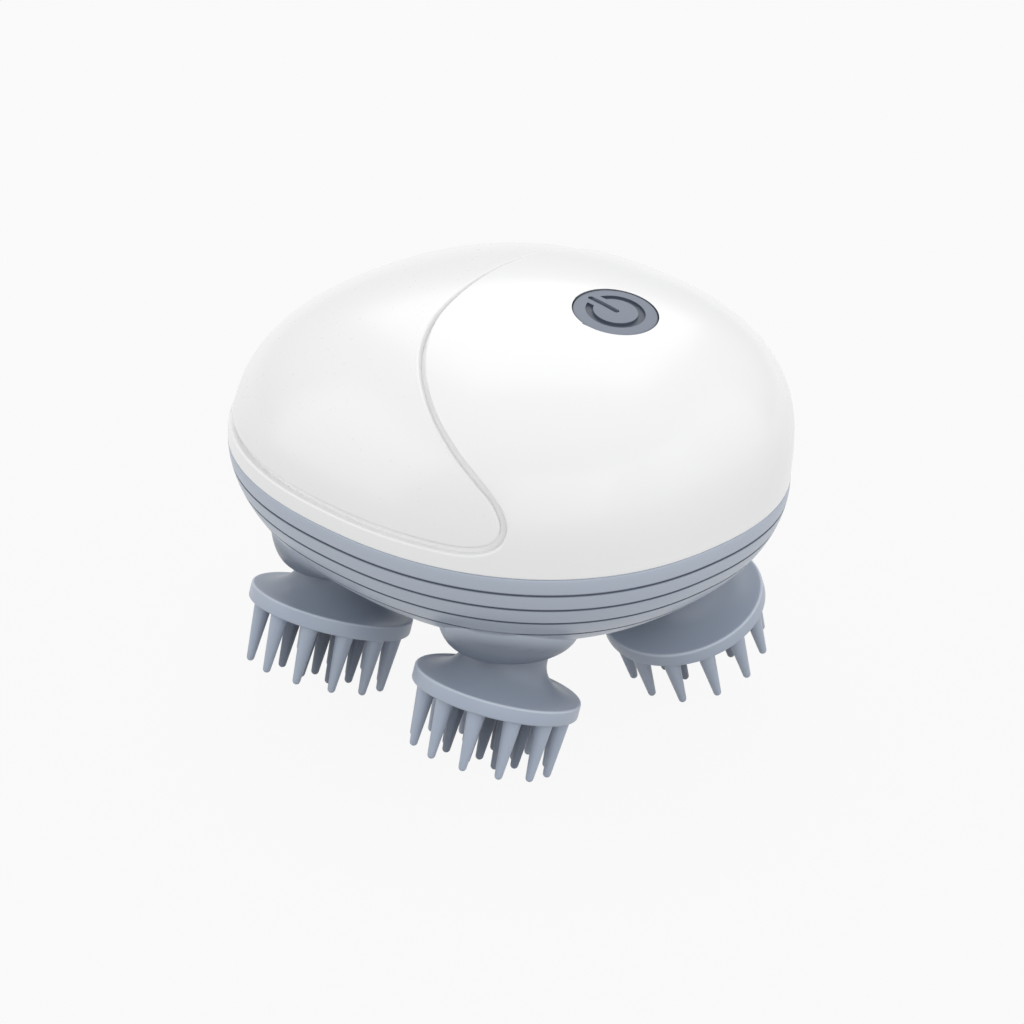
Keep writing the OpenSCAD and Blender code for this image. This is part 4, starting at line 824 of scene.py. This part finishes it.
def addStage():
    deselectAll()
    bpy.ops.mesh.primitive_plane_add(size=6, location=(0, 0, -0.0003))
    floor = bpy.context.object
    floor.name = "floor"
    material = bpy.data.materials.new("paleFloor")
    material.use_nodes = True
    nodes, links = material.node_tree.nodes, material.node_tree.links
    nodes.clear()
    out = nodes.new("ShaderNodeOutputMaterial")
    mix = nodes.new("ShaderNodeMixShader")
    matt = nodes.new("ShaderNodeBsdfDiffuse")
    matt.inputs["Color"].default_value = studio["floorColour"]
    glow = nodes.new("ShaderNodeEmission")
    glow.inputs["Color"].default_value = (1, 1, 1, 1)
    glow.inputs["Strength"].default_value = 1.0
    path = nodes.new("ShaderNodeLightPath")
    share = nodes.new("ShaderNodeMath")
    share.operation = "MULTIPLY"
    share.inputs[1].default_value = studio["floorWhite"]
    seen = nodes.new("ShaderNodeMath")
    seen.operation = "MAXIMUM"
    links.new(path.outputs["Is Camera Ray"], seen.inputs[0])
    links.new(path.outputs["Is Glossy Ray"], seen.inputs[1])
    links.new(seen.outputs[0], share.inputs[0])
    links.new(share.outputs[0], mix.inputs["Fac"])
    links.new(matt.outputs[0], mix.inputs[1])
    links.new(glow.outputs[0], mix.inputs[2])
    links.new(mix.outputs[0], out.inputs["Surface"])
    floor.data.materials.append(material)

    world = bpy.data.worlds.new("studio")
    bpy.context.scene.world = world
    world.use_nodes = True
    nodes, links = world.node_tree.nodes, world.node_tree.links
    nodes.clear()
    out = nodes.new("ShaderNodeOutputWorld")
    mix = nodes.new("ShaderNodeMixShader")
    soft = nodes.new("ShaderNodeBackground")
    soft.inputs["Color"].default_value = (0.995, 0.998, 1.0, 1)
    soft.inputs["Strength"].default_value = studio["world"]
    white = nodes.new("ShaderNodeBackground")
    white.inputs["Color"].default_value = (1, 1, 1, 1)
    white.inputs["Strength"].default_value = studio["skyWhite"]
    path = nodes.new("ShaderNodeLightPath")
    links.new(path.outputs["Is Camera Ray"], mix.inputs["Fac"])
    links.new(soft.outputs[0], mix.inputs[1])
    links.new(white.outputs[0], mix.inputs[2])
    links.new(mix.outputs[0], out.inputs["Surface"])

    for name, (azimuth, elevation, power) in studio["lamps"].items():
        addLamp(name, azimuth, elevation, power)


def groupSocket(group, name, direction, kind, value=None):
    socket = group.interface.new_socket(name=name, in_out=direction, socket_type=kind)
    if value is not None:
        socket.default_value = value
    return socket


def mouldGrainGroup():
    # fine moulding texture: a faint ripple, a cloudy tint and patches where the gloss is duller
    group = bpy.data.node_groups.new("mouldGrain", "ShaderNodeTree")
    groupSocket(group, "Colour", "INPUT", "NodeSocketColor", (0.8, 0.8, 0.8, 1))
    groupSocket(group, "Tint", "INPUT", "NodeSocketColor", (0.7, 0.7, 0.7, 1))
    groupSocket(group, "Tint Share", "INPUT", "NodeSocketFloat", 0.05)
    groupSocket(group, "Grain Scale", "INPUT", "NodeSocketFloat", 2500.0)
    groupSocket(group, "Roughness", "INPUT", "NodeSocketFloat", 0.3)
    groupSocket(group, "Roughness Spread", "INPUT", "NodeSocketFloat", 0.05)
    groupSocket(group, "Bump", "INPUT", "NodeSocketFloat", 0.05)
    groupSocket(group, "Colour", "OUTPUT", "NodeSocketColor")
    groupSocket(group, "Roughness", "OUTPUT", "NodeSocketFloat")
    groupSocket(group, "Normal", "OUTPUT", "NodeSocketVector")
    nodes, links = group.nodes, group.links
    given = nodes.new("NodeGroupInput")
    result = nodes.new("NodeGroupOutput")
    place = nodes.new("ShaderNodeTexCoord")
    cloud = nodes.new("ShaderNodeTexNoise")
    cloud.inputs["Scale"].default_value = 38.0
    cloud.inputs["Detail"].default_value = 3.0
    grain = nodes.new("ShaderNodeTexNoise")
    grain.inputs["Detail"].default_value = 2.0
    links.new(place.outputs["Object"], cloud.inputs["Vector"])
    links.new(place.outputs["Object"], grain.inputs["Vector"])
    links.new(given.outputs["Grain Scale"], grain.inputs["Scale"])
    share = nodes.new("ShaderNodeMath")
    share.operation = "MULTIPLY"
    links.new(cloud.outputs["Fac"], share.inputs[0])
    links.new(given.outputs["Tint Share"], share.inputs[1])
    mix = nodes.new("ShaderNodeMix")
    mix.data_type = "RGBA"
    links.new(share.outputs[0], mix.inputs["Factor"])
    links.new(given.outputs["Colour"], mix.inputs[6])
    links.new(given.outputs["Tint"], mix.inputs[7])
    links.new(mix.outputs[2], result.inputs["Colour"])
    spread = nodes.new("ShaderNodeMath")
    spread.operation = "MULTIPLY_ADD"
    centred = nodes.new("ShaderNodeMath")
    centred.operation = "SUBTRACT"
    centred.inputs[1].default_value = 0.5
    links.new(grain.outputs["Fac"], centred.inputs[0])
    links.new(centred.outputs[0], spread.inputs[0])
    links.new(given.outputs["Roughness Spread"], spread.inputs[1])
    links.new(given.outputs["Roughness"], spread.inputs[2])
    links.new(spread.outputs[0], result.inputs["Roughness"])
    bump = nodes.new("ShaderNodeBump")
    bump.inputs["Distance"].default_value = 0.0001
    links.new(given.outputs["Bump"], bump.inputs["Strength"])
    links.new(grain.outputs["Fac"], bump.inputs["Height"])
    links.new(bump.outputs["Normal"], result.inputs["Normal"])
    return group


def paintedLightGroup():
    # another colour where a mask is set: painted shade in a groove, or a painted highlight on an edge
    group = bpy.data.node_groups.new("paintedLight", "ShaderNodeTree")
    groupSocket(group, "Colour", "INPUT", "NodeSocketColor", (0.8, 0.8, 0.8, 1))
    groupSocket(group, "Tint", "INPUT", "NodeSocketColor", (0.1, 0.1, 0.1, 1))
    groupSocket(group, "Mask", "INPUT", "NodeSocketFloat", 0.0)
    groupSocket(group, "Colour", "OUTPUT", "NodeSocketColor")
    nodes, links = group.nodes, group.links
    given = nodes.new("NodeGroupInput")
    result = nodes.new("NodeGroupOutput")
    mix = nodes.new("ShaderNodeMix")
    mix.data_type = "RGBA"
    links.new(given.outputs["Mask"], mix.inputs["Factor"])
    links.new(given.outputs["Colour"], mix.inputs[6])
    links.new(given.outputs["Tint"], mix.inputs[7])
    links.new(mix.outputs[2], result.inputs["Colour"])
    return group


grainGroup = mouldGrainGroup()
paintedLightNodes = paintedLightGroup()


def linear(values):
    # sRGB numbers from 0 to 255 as the shader wants them
    shares = (v / 255 for v in values)
    return tuple(v / 12.92 if v <= 0.04045 else ((v + 0.055) / 1.055) ** 2.4 for v in shares)


def finish(name, colour, tint, roughness, grainScale=2500, spread=0.04, bump=0.04, tintShare=0.1,
           metallic=0.0, coat=0.0, coatRoughness=0.05, sheen=0.0, subsurface=0.0, **placed):
    colour, tint = linear(colour), linear(tint)
    material = bpy.data.materials.new(name)
    material.use_nodes = True
    nodes, links = material.node_tree.nodes, material.node_tree.links
    shader = nodes["Principled BSDF"]
    grain = nodes.new("ShaderNodeGroup")
    grain.node_tree = grainGroup
    grain.inputs["Colour"].default_value = (*colour, 1)
    grain.inputs["Tint"].default_value = (*tint, 1)
    grain.inputs["Tint Share"].default_value = tintShare
    grain.inputs["Grain Scale"].default_value = grainScale
    grain.inputs["Roughness"].default_value = roughness
    grain.inputs["Roughness Spread"].default_value = spread
    grain.inputs["Bump"].default_value = bump
    shown = grain.outputs["Colour"]
    # each mask mixes in a tone of painted shade or painted highlight
    for attribute, tone in placed.items():
        mask = nodes.new("ShaderNodeAttribute")
        mask.attribute_name = attribute
        shade = nodes.new("ShaderNodeGroup")
        shade.node_tree = paintedLightNodes
        shade.inputs["Tint"].default_value = (*linear(tone), 1)
        links.new(shown, shade.inputs["Colour"])
        links.new(mask.outputs["Fac"], shade.inputs["Mask"])
        shown = shade.outputs["Colour"]
    links.new(shown, shader.inputs["Base Color"])
    links.new(grain.outputs["Roughness"], shader.inputs["Roughness"])
    links.new(grain.outputs["Normal"], shader.inputs["Normal"])
    shader.inputs["Metallic"].default_value = metallic
    shader.inputs["IOR"].default_value = 1.5
    shader.inputs["Specular IOR Level"].default_value = 0.5
    shader.inputs["Coat Weight"].default_value = coat
    shader.inputs["Coat Roughness"].default_value = coatRoughness
    shader.inputs["Sheen Weight"].default_value = sheen
    shader.inputs["Subsurface Weight"].default_value = subsurface
    if subsurface:
        shader.inputs["Subsurface Scale"].default_value = 0.001
    material.diffuse_color = (*colour, 1)
    return material


finishes = {
    # shellWhite's placed tone is painted shade for the walls of the button hole
    "shellWhite": finish("shellWhite", (247, 247, 247), (241, 241, 242), 0.26, 1400, 0.03, 0.006,
                         coat=0.25, coatRoughness=0.2, crease=(120, 124, 132)),
    "panelWhite": finish("panelWhite", (245, 245, 245), (239, 239, 240), 0.28, 1400, 0.03, 0.006,
                         coat=0.25, coatRoughness=0.22),
    # bowlGrey's placed tone is painted shade for the grooves, neck recesses and bosses
    "bowlGrey": finish("bowlGrey", (181, 190, 204), (172, 182, 197), 0.34, 2600, 0.06, 0.02, 0.25,
                       crease=(100, 109, 124)),
    # siliconeGrey's placed tones are painted shade and a painted highlight on the rim's edge
    "siliconeGrey": finish("siliconeGrey", (172, 182, 198), (162, 173, 190), 0.38, 2200, 0.08, 0.03, 0.25,
                           sheen=0.03, crease=(88, 97, 112), rubbed=(208, 216, 228)),
    # buttonGrey's placed tone is painted shade for the sunken sign
    "buttonGrey": finish("buttonGrey", (124, 132, 146), (116, 125, 139), 0.46, 2600, 0.08, 0.06, 0.25,
                         crease=(84, 92, 106)),
    "nylonDark": finish("nylonDark", (80, 84, 92), (68, 72, 80), 0.55, 1800, 0.12, 0.12, 0.4),
    "acetalWhite": finish("acetalWhite", (232, 229, 216), (220, 216, 200), 0.4, 1500, 0.08, 0.06, 0.3,
                          subsurface=0.05),
    "frameGrey": finish("frameGrey", (96, 99, 106), (84, 87, 94), 0.5, 1600, 0.12, 0.12, 0.4),
    "plainSteel": finish("plainSteel", (196, 198, 203), (176, 178, 184), 0.28, 4200, 0.14, 0.05, 0.4,
                         metallic=1.0),
    "sinteredBronze": finish("sinteredBronze", (186, 146, 92), (150, 112, 66), 0.42, 3800, 0.18, 0.2, 0.6,
                             metallic=1.0),
    "bareCopper": finish("bareCopper", (190, 118, 78), (150, 86, 54), 0.34, 3200, 0.14, 0.1, 0.5,
                         metallic=1.0),
    "ferrite": finish("ferrite", (46, 46, 50), (34, 34, 37), 0.6, 3000, 0.2, 0.2, 0.5),
    "blackRubber": finish("blackRubber", (40, 40, 43), (30, 30, 33), 0.62, 2400, 0.15, 0.15, 0.4),
    "boardGreen": finish("boardGreen", (30, 96, 62), (20, 74, 48), 0.35, 1400, 0.1, 0.08, 0.5),
    "cellWrap": finish("cellWrap", (48, 88, 156), (40, 74, 136), 0.3, 1200, 0.08, 0.05, 0.4),
    "wireRed": finish("wireRed", (186, 40, 38), (160, 30, 30), 0.45, 2000, 0.1, 0.08, 0.4),
    "wireBlack": finish("wireBlack", (34, 34, 36), (24, 24, 26), 0.45, 2000, 0.1, 0.08, 0.4),
    "wireYellow": finish("wireYellow", (206, 184, 60), (180, 158, 48), 0.45, 2000, 0.1, 0.08, 0.4),
}

# finish for each of the record's material slots
slotFinish = {
    "shell": "shellWhite", "panel": "panelWhite", "bowl": "bowlGrey", "silicone": "siliconeGrey",
    "button": "buttonGrey", "flap": "bowlGrey", "hub": "nylonDark", "gear": "acetalWhite",
    "frame": "frameGrey", "steel": "plainSteel", "bronze": "sinteredBronze", "copper": "bareCopper",
    "magnet": "ferrite", "seal": "blackRubber", "board": "boardGreen", "switch": "blackRubber",
    "cell": "cellWrap", "wire_red": "wireRed", "wire_black": "wireBlack", "wire_yellow": "wireYellow",
}


def paint(piece, name):
    piece.data.materials.clear()
    piece.data.materials.append(finishes[name])


def paintFrame():
    for part in frame["record"]["subparts"]:
        node = frame["nodes"][part["node"]]
        node.data.materials.clear()
        node.data.materials.append(finishes[slotFinish[part["material_slot"]]])


def hand(piece, bodyName, slot, *nodes):
    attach(piece, bodyName)
    if nodes:
        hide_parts(*nodes)


addCamera()
addStage()
print("camera and stage ready")
paintFrame()

loop = panelLoop()
whiteShell = buildUpperShell(loop)
buttonPlace = buttonFrame()
cutButtonHole(whiteShell, buttonPlace)
paint(whiteShell, "shellWhite")
hand(whiteShell, "housing", "shell", "upper_shell")

sidePanel = buildSidePanel(loop)
paint(sidePanel, "panelWhite")
hand(sidePanel, "housing", "panel", "side_panel")

powerButton = buildButton(buttonPlace)
paint(powerButton, "buttonGrey")
hand(powerButton, "power_button", "button", "power_button")

greyBowl = buildLowerShell()
portPlace = portFrame()
cutPort(greyBowl, portPlace)
paint(greyBowl, "bowlGrey")
hand(greyBowl, "housing", "bowl", "lower_shell")

flap = buildFlap(portPlace)
paint(flap, "siliconeGrey")
hand(flap, "port_flap", "flap", "port_flap")

root = buildFlapRoot(portPlace)
paint(root, "siliconeGrey")
hand(root, "housing", "flap", "flap_root")

screws = buildScrews()
paint(screws, "plainSteel")
hand(screws, "housing", "steel", "housing_screws")

oneHead = buildHead()
for side, sign in (("front", -1), ("back", 1)):
    for end, way in (("left", -1), ("right", 1)):
        twin = copyTurned(oneHead, side + end.capitalize() + "Head", headFrame(sign, way))
        paint(twin, "siliconeGrey")
        hand(twin, side + "_" + end, "silicone", side + "_" + end + "_head")
bpy.data.objects.remove(oneHead)
print("heads ready")

bpy.context.scene.view_settings.view_transform = "Standard"
